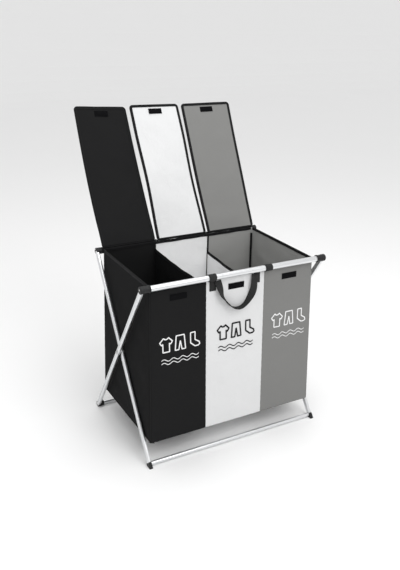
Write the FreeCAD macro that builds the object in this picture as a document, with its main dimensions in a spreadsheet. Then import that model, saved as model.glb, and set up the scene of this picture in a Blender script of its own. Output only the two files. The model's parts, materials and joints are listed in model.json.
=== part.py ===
import FreeCAD, Part
import math
import os

import Sketcher

# Three-section folding laundry sorter: two crossed aluminium frames that pivot on a pair of
# rivets, and a fabric bag with three lids hung between their top rails.
# X runs along the rails, Y to the rear, Z up. Millimetres.

SIZES = {
    # crossed frames
    "rail_spacing": 380, "rail_height": 573, "rail_dia": 18, "rail_wall": 1.2,
    "foot_spacing": 397, "foot_axis": 8.5, "foot_rail_dia": 13,
    "leg_width": 16, "leg_thick": 10, "leg_wall": 1.3, "leg_round": 3.5, "leg_gap": 2,
    "groove_width": 5, "groove_depth": 0.8, "inner_leg": 302, "fit": 0.15,
    # pivot
    "rivet_dia": 6, "rivet_play": 0.1, "rivet_head": 11, "rivet_cap": 1.2,
    "spacer_dia": 17, "run_gap": 0.3,
    # moulded corners and feet
    "knob_dia": 22.5, "knob_thick": 15, "sleeve_dia": 21.2, "sleeve_length": 17,
    "collar_width": 3, "collar_rise": 1, "leg_seat": 4, "spigot_length": 15,
    "boss_length": 16, "boss_lip": 9.5, "boss_floor": 1, "end_set": 6,
    "plug_lip": 0.6, "plug_rise": 3, "plug_length": 12, "knob_round": 2.5,
    "foot_cup": 20, "foot_cup_length": 12, "foot_cup_lip": 9.5, "tip_set": 1.6,
    "screw_dia": 3, "screw_head": 5, "screw_cap": 1.2, "screw_length": 7, "screw_rise": 6.4,
    # bag; rims, dividers, patches and handle are measured up from the top rails' axis
    "bag_width": 572, "bag_base_width": 586, "wall_gap": 12.5, "bag_base_depth": 380,
    "bag_bottom": 68, "panel_thick": 2, "seam_gap": 1.4, "panel_gap": 0.4,
    "rim_front": 1, "rim_rear": 9, "binding_width": 9, "binding_wall": 0.8,
    "divider_offset": 102, "divider_sag": 6,
    "divider_left_rear": -17, "divider_left_front": -26,
    "divider_right_rear": -56, "divider_right_front": -68,
    # straps, patches and handle
    "strap_width": 25, "strap_thick": 1.5, "strap_drop": 8,
    "front_strap_left": -91, "front_strap_right": 106, "rear_strap_left": -102, "rear_strap_right": 102,
    "patch_width": 55, "patch_height": 19, "patch_thick": 1.2, "patch_centre": -43,
    "patch_offset": 195,
    "tail_width": 22, "tail_height": 39, "tail_left": -81, "tail_right": 74, "tail_thick": 1.5,
    "handle_span": 124, "handle_thick": 2.5, "handle_width": 21.5, "handle_top": -21,
    "handle_low": -116, "handle_set": 3,
    # lids
    "lid_width": 187, "lid_pitch": 194.5, "lid_thick": 2, "lid_play": 0.5, "hinge_relief": 3,
    "fold_reach": 16.5, "flap_length": 87, "flap_gap": 2.1, "corner_round": 14,
    "lean_black": 25.5, "lean_white": 26, "lean_grey": 27.2,
    "tab_width": 50, "tab_height": 19, "tab_inset": 25,
}

SIDES = {"left": -1, "right": 1}
COLOURS = {"black": -1, "white": 0, "grey": 1}

# Expressions that several pieces share.
FLOOR_RUN = "(dim.foot_spacing / 2 + dim.rail_spacing / 2)"
FLOOR_RISE = "(dim.rail_height - dim.foot_axis)"
PIVOT_RISE = f"({FLOOR_RISE} * dim.foot_spacing / (dim.foot_spacing + dim.rail_spacing))"
TOP_REACH = f"sqrt((dim.rail_spacing / 2)^2 + ({FLOOR_RISE} - {PIVOT_RISE})^2)"
LOW_REACH = f"sqrt((dim.foot_spacing / 2)^2 + {PIVOT_RISE}^2)"
LEG_SPAN = f"sqrt({FLOOR_RUN}^2 + {FLOOR_RISE}^2)"
SINE = f"({FLOOR_RUN} / {LEG_SPAN})"
COSINE = f"({FLOOR_RISE} / {LEG_SPAN})"
OUTER_LEG = "(dim.inner_leg + dim.leg_thick + dim.leg_gap)"
BAG_DROP = "(dim.rail_height - dim.bag_bottom)"
SPLAY = f"((dim.bag_base_depth / 2 - dim.rail_spacing / 2 + dim.wall_gap) / {BAG_DROP})"
SIDE_SPLAY = f"((dim.bag_base_width - dim.bag_width) / 2 / {BAG_DROP})"
BINDING_THICK = "(dim.panel_thick + 2 * dim.binding_wall)"
LID_DEPTH = "(dim.rail_spacing - dim.wall_gap - dim.panel_thick / 2 + dim.fold_reach)"

doc = FreeCAD.newDocument("laundry_sorter")
sheet = doc.addObject("Spreadsheet::Sheet", "dim")
for row, (name, value) in enumerate(SIZES.items(), start=1):
    sheet.set(f"A{row}", name)
    sheet.set(f"B{row}", str(value))
    sheet.setAlias(f"B{row}", name)
doc.recompute()


def size(name):
    """A driving size, read back from the sheet."""
    return float(sheet.get(name))


# ---------------------------------------------------------------- modelling helpers

def new_body(label, x=0.0, y=0.0, z=0.0, turn=0.0, tilt=0.0):
    """A body at a place, turned about X and then tilted about Y, in degrees."""
    body = doc.addObject("PartDesign::Body", label)
    body.Label = label
    about_x = FreeCAD.Rotation(FreeCAD.Vector(1, 0, 0), turn)
    about_y = FreeCAD.Rotation(FreeCAD.Vector(0, 1, 0), tilt)
    body.Placement = FreeCAD.Placement(FreeCAD.Vector(x, y, z), about_y.multiply(about_x))
    return body


def new_sketch(body, plane, lift):
    """A sketch on one of the body's origin planes, lifted along the plane's normal."""
    origin_plane = next(f for f in body.Origin.OriginFeatures if f.Role == plane + "_Plane")
    sketch = body.newObject("Sketcher::SketchObject", body.Label + "_sketch")
    sketch.AttachmentSupport = (origin_plane, "")
    sketch.MapMode = "FlatFace"
    sketch.setExpression("AttachmentOffset.Base.z", str(lift))
    return sketch


def hold(sketch, kind, geometry, point, guess, expression):
    """Hold one coordinate of a sketch point, measured from the sketch's origin."""
    index = sketch.addConstraint(Sketcher.Constraint(kind, -1, 1, geometry, point, guess))
    sketch.setExpression(f"Constraints[{index}]", str(expression))


def outline(body, plane, corners, lift=0):
    """A closed outline of straight edges through corners given as pairs of expressions."""
    sketch = new_sketch(body, plane, lift)
    count = len(corners)
    turns = [2 * math.pi * i / count for i in range(count)]
    start = [FreeCAD.Vector(math.cos(a), math.sin(a), 0) for a in turns]
    for i in range(count):
        sketch.addGeometry(Part.LineSegment(start[i], start[(i + 1) % count]), False)
    for i in range(count):
        sketch.addConstraint(Sketcher.Constraint("Coincident", i, 2, (i + 1) % count, 1))
    for i, (across, up) in enumerate(corners):
        hold(sketch, "DistanceX", i, 1, start[i].x, across)
        hold(sketch, "DistanceY", i, 1, start[i].y, up)
    return sketch


def rectangle(body, plane, left, right, low, high, lift=0):
    """A rectangle between four expressions."""
    corners = [(left, low), (right, low), (right, high), (left, high)]
    return outline(body, plane, corners, lift)


def circles(body, plane, rounds, lift=0):
    """Circles, each given as (across, up, diameter) expressions."""
    sketch = new_sketch(body, plane, lift)
    for i, (across, up, diameter) in enumerate(rounds):
        sketch.addGeometry(Part.Circle(FreeCAD.Vector(1, 1, 0), FreeCAD.Vector(0, 0, 1), i + 1), False)
        hold(sketch, "DistanceX", i, 3, 1, across)
        hold(sketch, "DistanceY", i, 3, 1, up)
        index = sketch.addConstraint(Sketcher.Constraint("Diameter", i, 2 * (i + 1)))
        sketch.setExpression(f"Constraints[{index}]", str(diameter))
    return sketch


def feature(kind, body, sketch, thickness):
    """A Pad or Pocket that lies half to each side of its sketch."""
    item = body.newObject("PartDesign::" + kind, f"{body.Label}_{kind.lower()}")
    item.Profile = sketch
    item.SideType = "Symmetric"
    item.setExpression("Length", str(thickness))
    sketch.Visibility = False
    return item


def pad(body, sketch, thickness):
    """Add material on both sides of a sketch."""
    return feature("Pad", body, sketch, thickness)


def pocket(body, sketch, thickness):
    """Remove material on both sides of a sketch, and make sure that some is removed."""
    doc.recompute()
    before = body.Shape.Volume
    item = feature("Pocket", body, sketch, thickness)
    doc.recompute()
    if body.Shape.Volume > before - 1e-3:
        raise RuntimeError(f"{body.Label}: a pocket removed nothing")
    return item


def round_edges(body, radius, wanted):
    """Fillet the edges of the body's last feature for which wanted(edge) is true."""
    doc.recompute()
    base = body.Tip
    names = [f"Edge{i}" for i, edge in enumerate(base.Shape.Edges, start=1) if wanted(edge)]
    item = body.newObject("PartDesign::Fillet", body.Label + "_fillet")
    item.Base = (base, names)
    item.setExpression("Radius", radius)
    return item


def along(edge, axis):
    """True where an edge is straight and runs along one of the local axes."""
    if not isinstance(edge.Curve, (Part.Line, Part.LineSegment)):
        return False
    run = edge.Vertexes[-1].Point - edge.Vertexes[0].Point
    return abs(abs(run[axis]) - run.Length) < 1e-6


def is_ring(edge, distance):
    """True for a circular edge whose centre is this far from the local origin along X."""
    return isinstance(edge.Curve, Part.Circle) and abs(abs(edge.Curve.Center.x) - distance) < 1e-6


# ---------------------------------------------------------------- places worked out from the sizes

LEAN = math.degrees(math.atan2((size("foot_spacing") + size("rail_spacing")) / 2,
                               size("rail_height") - size("foot_axis")))
PIVOT_Z = size("foot_axis") + ((size("rail_height") - size("foot_axis")) * size("foot_spacing")
                               / (size("foot_spacing") + size("rail_spacing")))
OUTER_X = size("inner_leg") + size("leg_thick") + size("leg_gap")
WALL_Y = size("rail_spacing") / 2 - size("wall_gap")
DROP = size("rail_height") - size("bag_bottom")
WALL_TILT = math.degrees(math.atan((size("bag_base_depth") / 2 - WALL_Y) / DROP))
SIDE_TILT = math.degrees(math.atan((size("bag_base_width") - size("bag_width")) / 2 / DROP))
LID_BODY = size("lid_thick") + 2 * size("binding_wall")
HINGE_Y = WALL_Y - size("panel_thick") / 2
HINGE_Z = (size("rail_height") + size("rail_dia") / 2 + size("run_gap") + size("strap_thick")
           + size("lid_play") + LID_BODY / 2)
LID_DEPTH_MM = HINGE_Y + size("rail_spacing") / 2 + size("fold_reach")

# The frame's origin is on the floor under the middle of the whole object's box, so the
# crossed frames stand forward of it by half of what the open lids reach back.
PLUG_HALF = size("leg_width") / 2 + size("plug_lip")
TOE = PLUG_HALF / math.cos(math.radians(LEAN)) + size("foot_axis") * math.tan(math.radians(LEAN))
FRONT_REACH = size("foot_spacing") / 2 + TOE
STEEPEST = math.radians(max(size("lean_" + colour) for colour in COLOURS))
REAR_REACH = (HINGE_Y + (LID_DEPTH_MM + size("flap_length")) * math.sin(STEEPEST)
              + LID_BODY / 2 * math.cos(STEEPEST))
MIDDLE_Y = (FRONT_REACH - REAR_REACH) / 2


# ---------------------------------------------------------------- crossed frames

def leg(label, x, turn, rounded_reach, seated_reach):
    """A flat-oval tube with a groove down both faces. Its local Z runs from the pivot to its
    rounded end; the other end is cut square and sits in a moulding."""
    body = new_body(label, x, MIDDLE_Y, PIVOT_Z, turn)
    half = "dim.leg_width / 2"
    pad(body, rectangle(body, "YZ", f"-{half}", half, f"-{seated_reach}", rounded_reach), "dim.leg_thick")
    pad(body, circles(body, "YZ", [(0, rounded_reach, "dim.leg_width")]), "dim.leg_thick")
    face = size("leg_thick") / 2

    def borders_a_face(edge):
        flat = all(abs(abs(v.X) - face) < 1e-6 for v in edge.Vertexes)
        return flat and not along(edge, 1)

    round_edges(body, "dim.leg_round", borders_a_face)
    inside = "(dim.leg_width / 2 - dim.leg_wall)"
    bore = rectangle(body, "YZ", f"-{inside}", inside, f"-{seated_reach} - 1",
                     f"{rounded_reach} - dim.leg_width / 2")
    pocket(body, bore, "dim.leg_thick - 2 * dim.leg_wall")
    for side in (-1, 1):
        groove = rectangle(body, "YZ", "-dim.groove_width / 2", "dim.groove_width / 2",
                           f"-{seated_reach} + dim.spigot_length",
                           f"{rounded_reach} - dim.leg_width", f"{side} * dim.leg_thick / 2")
        pocket(body, groove, "2 * dim.groove_depth")
    pocket(body, circles(body, "YZ", [(0, 0, "dim.rivet_dia + dim.rivet_play")]), "dim.leg_thick + 2")


def rail(label, y, z, length, diameter):
    """A round tube along X."""
    body = new_body(label, 0, y, z)
    rings = [(0, 0, diameter), (0, 0, f"{diameter} - 2 * dim.rail_wall")]
    pad(body, circles(body, "YZ", rings), length)


def front_corner(label, side):
    """Moulding at the top of an outer leg: a knob that holds the leg and a sleeve on the rail."""
    body = new_body(label, side * OUTER_X, MIDDLE_Y - size("rail_spacing") / 2, size("rail_height"),
                    LEAN - 180)
    inward = -side
    sleeve_middle = f"{inward} * (dim.knob_thick / 2 + dim.sleeve_length / 2)"
    collar_middle = f"{inward} * (dim.knob_thick / 2 + dim.sleeve_length - dim.collar_width / 2)"
    pad(body, circles(body, "YZ", [(0, 0, "dim.knob_dia")]), "dim.knob_thick")
    round_edges(body, "dim.knob_round", lambda edge: is_ring(edge, size("knob_thick") / 2))
    root_middle = f"{inward} * (dim.knob_thick / 2 + dim.sleeve_length / 2 - dim.knob_round / 2)"
    pad(body, circles(body, "YZ", [(0, 0, "dim.sleeve_dia")], root_middle),
        "dim.sleeve_length + dim.knob_round")
    pad(body, circles(body, "YZ", [(0, 0, "dim.sleeve_dia + 2 * dim.collar_rise")], collar_middle),
        "dim.collar_width")
    pocket(body, circles(body, "YZ", [(0, 0, "dim.rail_dia + 2 * dim.fit")], sleeve_middle),
           "dim.sleeve_length")
    socket = "(dim.leg_width / 2 + dim.fit)"
    pocket(body, rectangle(body, "YZ", f"-{socket}", socket, "dim.leg_seat - dim.fit", "dim.knob_dia"),
           "dim.leg_thick + 2 * dim.fit")
    spigot = "(dim.leg_width / 2 - dim.leg_wall - dim.fit)"
    pad(body, rectangle(body, "YZ", f"-{spigot}", spigot, "dim.leg_seat - 1",
                        "dim.leg_seat + dim.spigot_length"),
        "dim.leg_thick - 2 * dim.leg_wall - 2 * dim.fit")
    pocket(body, circles(body, "YZ", [("0", "-dim.screw_head / 2", "dim.screw_dia + 2 * dim.fit")],
                         f"{side} * dim.knob_thick / 2"), "2 * (dim.screw_length + dim.fit)")


def rear_corner(label, side):
    """Moulding at the top of an inner leg: a boss on the rail whose lip cups the leg's round end."""
    body = new_body(label, side * size("inner_leg"), MIDDLE_Y + size("rail_spacing") / 2,
                    size("rail_height"), -LEAN)
    inward = -side
    middle = f"{inward} * (dim.leg_thick / 2 + dim.boss_length / 2 - dim.boss_lip / 2)"
    pad(body, circles(body, "YZ", [(0, 0, "dim.sleeve_dia")], middle), "dim.boss_length + dim.boss_lip")
    lip = size("boss_lip") - size("leg_thick") / 2
    round_edges(body, "dim.rail_wall", lambda edge: is_ring(edge, lip))
    bore_middle = f"{inward} * (dim.leg_thick / 2 + dim.boss_length / 2 + dim.boss_floor / 2)"
    pocket(body, circles(body, "YZ", [(0, 0, "dim.rail_dia + 2 * dim.fit")], bore_middle),
           "dim.boss_length - dim.boss_floor")
    socket = "(dim.leg_width / 2 + dim.fit)"
    thickness = "dim.leg_thick + 2 * dim.fit"
    pocket(body, rectangle(body, "YZ", f"-{socket}", socket, "-2 * dim.sleeve_dia", "-dim.end_set"),
           thickness)
    pocket(body, circles(body, "YZ", [(0, "-dim.end_set", "dim.leg_width + 2 * dim.fit")]), thickness)
    pocket(body, circles(body, "YZ", [(0, "dim.screw_rise", "dim.screw_dia + 2 * dim.fit")],
                         f"{side} * (dim.boss_lip - dim.leg_thick / 2)"),
           "2 * (dim.screw_length + dim.fit)")


def tilted(across, up_leg, mirror=1):
    """A point beside the foot axis, given across a leg and up along it."""
    return (f"{mirror} * (({across}) * {COSINE} + ({up_leg}) * {SINE})",
            f"({up_leg}) * {COSINE} - ({across}) * {SINE}")


def on_floor(across):
    """The point level with the floor on a line beside a leg."""
    return tilted(across, f"(({across}) * {SINE} - dim.foot_axis) / {COSINE}")


def front_foot(label, side):
    """Plug in the inner leg's foot, cut level with the floor, with a spigot for the floor rail."""
    body = new_body(label, side * size("inner_leg"), MIDDLE_Y - size("foot_spacing") / 2, size("foot_axis"))
    inward = -side
    half = "(dim.leg_width / 2 + dim.plug_lip)"
    corners = [on_floor(f"-{half}"), on_floor(half), tilted(half, "dim.plug_rise"),
               tilted(f"-{half}", "dim.plug_rise")]
    pad(body, outline(body, "YZ", corners), "dim.leg_thick + 2 * dim.plug_lip")
    inside = "(dim.leg_width / 2 - dim.leg_wall - dim.fit)"
    plug_top = "dim.plug_rise + dim.plug_length"
    corners = [tilted(f"-{inside}", "0"), tilted(inside, "0"), tilted(inside, plug_top),
               tilted(f"-{inside}", plug_top)]
    pad(body, outline(body, "YZ", corners), "dim.leg_thick - 2 * dim.leg_wall - 2 * dim.fit")
    spigot_middle = f"{inward} * (dim.leg_thick + dim.plug_length) / 2"
    pad(body, circles(body, "YZ", [(0, 0, "dim.foot_rail_dia - 2 * dim.rail_wall - 2 * dim.fit")],
                      spigot_middle), "dim.plug_length")


def rear_foot(label, side):
    """Cup on the end of the rear floor rail whose lip holds the outer leg's round end."""
    body = new_body(label, side * OUTER_X, MIDDLE_Y + size("foot_spacing") / 2, size("foot_axis"))
    inward = -side
    middle = f"{inward} * (dim.leg_thick / 2 + dim.foot_cup_length / 2 - dim.foot_cup_lip / 2)"
    length = "dim.foot_cup_length + dim.foot_cup_lip"
    pad(body, circles(body, "YZ", [(0, 0, "dim.foot_cup")], middle), length)
    pocket(body, rectangle(body, "YZ", "-dim.foot_cup", "dim.foot_cup", "-dim.foot_cup", "-dim.foot_axis",
                           middle), f"{length} + 2")
    bore_middle = f"{inward} * (dim.leg_thick / 2 + dim.foot_cup_length / 2 + dim.boss_floor / 2)"
    pocket(body, circles(body, "YZ", [(0, 0, "dim.foot_rail_dia + 2 * dim.fit")], bore_middle),
           "dim.foot_cup_length - dim.boss_floor")
    socket = "dim.leg_width / 2 + dim.fit"
    corners = [tilted(f"-({socket})", "dim.tip_set", -1), tilted(socket, "dim.tip_set", -1),
               tilted(socket, "2 * dim.foot_cup", -1), tilted(f"-({socket})", "2 * dim.foot_cup", -1)]
    thickness = "dim.leg_thick + 2 * dim.fit"
    pocket(body, outline(body, "YZ", corners), thickness)
    tip = tilted(0, "dim.tip_set", -1)
    pocket(body, circles(body, "YZ", [(*tip, "dim.leg_width + 2 * dim.fit")]), thickness)


def screws(label, y, turn, rise, face):
    """A pan-head screw in the outer face of the moulding at each end of a top rail."""
    body = new_body(label, 0, y, size("rail_height"), turn)
    for side in SIDES.values():
        pad(body, circles(body, "YZ", [(0, rise, "dim.screw_dia")],
                          f"{side} * ({face} - dim.screw_length / 2)"), "dim.screw_length")
        pad(body, circles(body, "YZ", [(0, rise, "dim.screw_head")],
                          f"{side} * ({face} + dim.screw_cap / 2)"), "dim.screw_cap")
    doc.recompute()
    outermost = max(abs(v.X) for v in body.Tip.Shape.Vertexes)
    round_edges(body, "dim.screw_cap / 3", lambda edge: is_ring(edge, outermost))


def pivot():
    """Rivets through the crossed legs, and the spacers that keep the legs apart."""
    rivets = new_body("pivot_rivets", 0, MIDDLE_Y, PIVOT_Z)
    spacers = new_body("pivot_spacers", 0, MIDDLE_Y, PIVOT_Z)
    middle = "(dim.inner_leg + dim.leg_thick / 2 + dim.leg_gap / 2)"
    shank = "(2 * dim.leg_thick + dim.leg_gap + 2 * dim.run_gap)"
    for side in SIDES.values():
        pad(rivets, circles(rivets, "YZ", [(0, 0, "dim.rivet_dia")], f"{side} * {middle}"), shank)
        for end in (-1, 1):
            head = f"{side} * {middle} + {end} * ({shank} + dim.rivet_cap) / 2"
            pad(rivets, circles(rivets, "YZ", [(0, 0, "dim.rivet_head")], head), "dim.rivet_cap")
        ring = [(0, 0, "dim.spacer_dia"), (0, 0, "dim.rivet_dia + dim.rivet_play")]
        pad(spacers, circles(spacers, "YZ", ring, f"{side} * {middle}"), "dim.leg_gap - 2 * dim.run_gap")


def frames():
    """Both crossed frames, with their rails, mouldings and screws."""
    front_rail = MIDDLE_Y - size("rail_spacing") / 2
    rear_rail = MIDDLE_Y + size("rail_spacing") / 2
    for name, side in SIDES.items():
        leg(f"inner_leg_{name}", side * size("inner_leg"), -LEAN,
            f"({TOP_REACH} - dim.end_set)", f"({LOW_REACH} - dim.plug_rise - dim.fit)")
        leg(f"outer_leg_{name}", side * OUTER_X, LEAN - 180,
            f"({LOW_REACH} - dim.tip_set)", f"({TOP_REACH} - dim.leg_seat)")
        front_corner(f"front_corner_{name}", side)
        rear_corner(f"rear_corner_{name}", side)
        front_foot(f"front_foot_{name}", side)
        rear_foot(f"rear_foot_{name}", side)
    rail("front_top_rail", front_rail, size("rail_height"),
         f"2 * ({OUTER_LEG} - dim.knob_thick / 2 - dim.fit)", "dim.rail_dia")
    seat = "(dim.leg_thick / 2 + dim.boss_floor + dim.fit)"
    rail("rear_top_rail", rear_rail, size("rail_height"), f"2 * (dim.inner_leg - {seat})", "dim.rail_dia")
    rail("front_floor_rail", MIDDLE_Y - size("foot_spacing") / 2, size("foot_axis"),
         "2 * (dim.inner_leg - dim.leg_thick / 2 - dim.plug_lip - dim.fit)", "dim.foot_rail_dia")
    rail("rear_floor_rail", MIDDLE_Y + size("foot_spacing") / 2, size("foot_axis"),
         f"2 * ({OUTER_LEG} - {seat})", "dim.foot_rail_dia")
    screws("front_corner_screws", front_rail, LEAN - 180, "-dim.screw_head / 2",
           f"({OUTER_LEG} + dim.knob_thick / 2)")
    screws("rear_corner_screws", rear_rail, -LEAN, "dim.screw_rise",
           "(dim.inner_leg - dim.leg_thick / 2 + dim.boss_lip)")


# ---------------------------------------------------------------- bag

def wall_body(label, facing):
    """A body in a long wall's own frame: local Y is 0 on the wall's outer face, and Z is 0 at
    the rails' height. facing is -1 for the front wall and 1 for the rear."""
    return new_body(label, 0, MIDDLE_Y + facing * WALL_Y, size("rail_height"), facing * WALL_TILT)


def outward(facing, distance):
    """Lift of a sketch on a long wall's XZ plane, measured outwards from the wall's face."""
    return f"{-facing} * ({distance})"


def long_wall(prefix, facing, rim):
    """The three panels of the front or rear wall and the binding along their rim."""
    top = f"dim.{rim}"
    foot = f"(-{BAG_DROP} * sqrt(1 + {SPLAY}^2))"
    lift = outward(facing, "-dim.panel_thick / 2")
    for colour, place in COLOURS.items():
        body = wall_body(f"{prefix}_panel_{colour}", facing)
        if place == 0:
            edge = "(dim.divider_offset - dim.panel_gap / 2)"
            sketch = rectangle(body, "XZ", f"-{edge}", edge, foot, top, lift)
        else:
            inner = f"{place} * (dim.divider_offset + dim.panel_gap / 2)"
            corners = [(inner, foot), (f"{place} * dim.bag_base_width / 2", foot),
                       (f"{place} * dim.bag_width / 2", top), (inner, top)]
            sketch = outline(body, "XZ", corners, lift)
        pad(body, sketch, "dim.panel_thick")
    binding = wall_body(f"{prefix}_rim_binding", facing)
    half = "dim.bag_width / 2"
    pad(binding, rectangle(binding, "XZ", f"-{half}", half, f"{top} - dim.binding_width",
                           f"{top} + dim.binding_wall", lift), BINDING_THICK)
    pocket(binding, rectangle(binding, "XZ", f"-{half} - 1", f"{half} + 1", f"{top} - 2 * dim.binding_width",
                              top, lift), "dim.panel_thick")


def wall_reach(rise):
    """How far the space between the long walls reaches from the middle, this far above the rails."""
    return (f"(dim.rail_spacing / 2 - dim.wall_gap - dim.panel_thick - dim.seam_gap"
            f" - ({rise}) * {SPLAY})")


def bound_wall(label, binding_label, x, tilt, lift, corners, top_edge):
    """A wall across the bag, as a panel and the binding along its top edge."""
    panel = new_body(label, x, MIDDLE_Y, size("rail_height"), 0, tilt)
    pad(panel, outline(panel, "YZ", corners, lift), "dim.panel_thick")
    binding = new_body(binding_label, x, MIDDLE_Y, size("rail_height"), 0, tilt)
    lower = [(y, f"{z} - dim.binding_width") for y, z in reversed(top_edge)]
    upper = [(y, f"{z} + dim.binding_wall") for y, z in top_edge]
    pad(binding, outline(binding, "YZ", upper + lower, lift), BINDING_THICK)
    pocket(binding, outline(binding, "YZ", corners, lift), "dim.panel_thick")


def side_wall(name, side):
    """An end wall of the bag."""
    low = f"-{BAG_DROP}"
    foot = wall_reach(low)
    front = (f"-{wall_reach('dim.rim_front')}", "dim.rim_front")
    rear = (wall_reach("dim.rim_rear"), "dim.rim_rear")
    corners = [(f"-{foot}", low), (foot, low), rear, front]
    bound_wall(f"side_panel_{name}", f"side_binding_{name}", side * size("bag_width") / 2,
               -side * SIDE_TILT, f"{-side} * dim.panel_thick / 2", corners, [front, rear])


def divider(name, side):
    """A wall between two compartments, whose top edge sags below the rim."""
    low = f"-{BAG_DROP}"
    foot = wall_reach(low)
    front_rise, rear_rise = f"dim.divider_{name}_front", f"dim.divider_{name}_rear"
    front = (f"-{wall_reach(front_rise)}", front_rise)
    middle = ("0", f"(({front_rise} + {rear_rise}) / 2 - dim.divider_sag)")
    rear = (wall_reach(rear_rise), rear_rise)
    corners = [(f"-{foot}", low), (foot, low), rear, middle, front]
    bound_wall(f"divider_{name}", f"divider_binding_{name}", side * size("divider_offset"), 0, 0,
               corners, [front, middle, rear])


def floor_panel(colour, place):
    """The floor of one compartment, clear of the walls round it."""
    body = new_body(f"floor_panel_{colour}", 0, MIDDLE_Y, size("bag_bottom"))
    depth = wall_reach(f"dim.panel_thick - {BAG_DROP}")
    beside = "dim.divider_offset {} (dim.panel_thick / 2 + dim.panel_gap)"
    if place == 0:
        left, right = "-(" + beside.format("-") + ")", beside.format("-")
    else:
        ends = [f"{place} * ({beside.format('+')})",
                f"{place} * (dim.bag_base_width / 2 - dim.panel_thick - dim.panel_gap - dim.fit)"]
        left, right = ends[::place]
    pad(body, rectangle(body, "XY", left, right, f"-{depth}", depth, "dim.panel_thick / 2"),
        "dim.panel_thick")


def straps(label, facing, rim):
    """Webbing loops round a top rail, each with a short tail sewn to the wall's rim."""
    body = new_body(label, 0, MIDDLE_Y + facing * size("rail_spacing") / 2, size("rail_height"))
    bore = "(dim.rail_dia + 2 * dim.run_gap)"
    rings = [(0, 0, f"{bore} + 2 * dim.strap_thick"), (0, 0, bore)]
    near = f"{-facing} * ({bore} / 2 + dim.strap_thick / 2)"
    far = f"{-facing} * (dim.wall_gap - dim.binding_wall - dim.fit - dim.run_gap)"
    left, right = (near, far) if facing < 0 else (far, near)
    for name in SIDES:
        lift = f"dim.{label.removesuffix('s')}_{name}"
        pad(body, circles(body, "YZ", rings, lift), "dim.strap_width")
        pad(body, rectangle(body, "YZ", left, right, "-dim.strap_drop",
                            f"dim.{rim}", lift), "dim.strap_width")


def front_trim():
    """Hook-and-loop patches and the sewn tails of the handle, on the front wall's face."""
    patches = wall_body("closure_patches", -1)
    level = "dim.patch_centre"
    half = "dim.patch_width / 2"
    for place in COLOURS.values():
        centre = f"{place} * dim.patch_offset"
        sketch = rectangle(patches, "XZ", f"{centre} - {half}", f"{centre} + {half}",
                           f"{level} - dim.patch_height / 2", f"{level} + dim.patch_height / 2",
                           outward(-1, "dim.patch_thick / 2"))
        pad(patches, sketch, "dim.patch_thick")
    tails = wall_body("handle_tails", -1)
    top = "(dim.rim_front - dim.binding_width - dim.run_gap)"
    for name in SIDES:
        centre = f"dim.tail_{name}"
        sketch = rectangle(tails, "XZ", f"{centre} - dim.tail_width / 2", f"{centre} + dim.tail_width / 2",
                           f"{top} - dim.tail_height", top, outward(-1, "dim.tail_thick / 2"))
        pad(tails, sketch, "dim.tail_thick")


def handle():
    """A webbing loop that hangs from its two ends in front of the middle compartment."""
    body = new_body("carry_handle", 0, MIDDLE_Y - size("rail_spacing") / 2 - size("handle_set"),
                    size("rail_height") + size("handle_top"))
    outer = "(dim.handle_span / 2 + dim.handle_thick / 2)"
    inner = "(dim.handle_span / 2 - dim.handle_thick / 2)"
    centre = f"(dim.handle_low + {outer} - dim.handle_top)"
    rings = [(0, centre, f"2 * {outer}"), (0, centre, f"2 * {inner}")]
    pad(body, circles(body, "XZ", rings), "dim.handle_width")
    pocket(body, rectangle(body, "XZ", f"-{outer} - 1", f"{outer} + 1", centre, f"{centre} + {outer} + 1"),
           "dim.handle_width + 2")
    for side in SIDES.values():
        left, right = (f"-{outer}", f"-{inner}") if side < 0 else (inner, outer)
        pad(body, rectangle(body, "XZ", left, right, centre, 0), "dim.handle_width")


def bag():
    """Everything sewn together between the rails."""
    long_wall("front", -1, "rim_front")
    long_wall("rear", 1, "rim_rear")
    for name, side in SIDES.items():
        side_wall(name, side)
        divider(name, side)
    for colour, place in COLOURS.items():
        floor_panel(colour, place)
    straps("front_straps", -1, "rim_front")
    straps("rear_straps", 1, "rim_rear")
    front_trim()
    handle()


# ---------------------------------------------------------------- lids

def lid_body(label, colour, place, reach=0.0):
    """A body in a closed lid's own frame, leaned back to where the lid stands open. Local -Y
    runs from the hinge to the free edge, and reach is how far along it the body starts."""
    turn = -(90 + size("lean_" + colour))
    lean = math.radians(size("lean_" + colour))
    return new_body(label, place * size("lid_pitch"), MIDDLE_Y + HINGE_Y + reach * math.sin(lean),
                    HINGE_Z + reach * math.cos(lean), turn)


def tongue(make, body, half, root, tip, radius, thickness):
    """Pad or pocket a strip from root to tip along -Y, with its two far corners rounded."""
    make(body, rectangle(body, "XY", f"-({half})", half, f"-({tip} - {radius})", f"-({root})"), thickness)
    make(body, rectangle(body, "XY", f"-({half} - {radius})", f"{half} - {radius}", f"-({tip})",
                         f"-({tip} - {radius})"), thickness)
    for side in SIDES.values():
        corner = (f"{side} * ({half} - {radius})", f"-({tip} - {radius})", f"2 * {radius}")
        make(body, circles(body, "XY", [corner]), thickness)


def lid(colour, place):
    """A lid that spans its compartment, with binding down both sides."""
    half = "dim.lid_width / 2"
    panel = lid_body(f"lid_{colour}", colour, place)
    inside = f"({half} - dim.binding_wall)"
    end = f"-({LID_DEPTH} - dim.flap_gap)"
    pad(panel, rectangle(panel, "XY", f"-{inside}", inside, end, "-dim.hinge_relief"), "dim.lid_thick")
    binding = lid_body(f"lid_binding_{colour}", colour, place)
    for side in SIDES.values():
        outer, inner = f"{side} * {half}", f"{side} * ({half} - dim.binding_width)"
        left, right = (outer, inner) if side < 0 else (inner, outer)
        pad(binding, rectangle(binding, "XY", left, right, end, "-dim.hinge_relief"),
            "dim.lid_thick + 2 * dim.binding_wall")
    pocket(binding, rectangle(binding, "XY", f"-{inside}", inside, f"{end} - 1", "-dim.hinge_relief + 1"),
           "dim.lid_thick")


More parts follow.
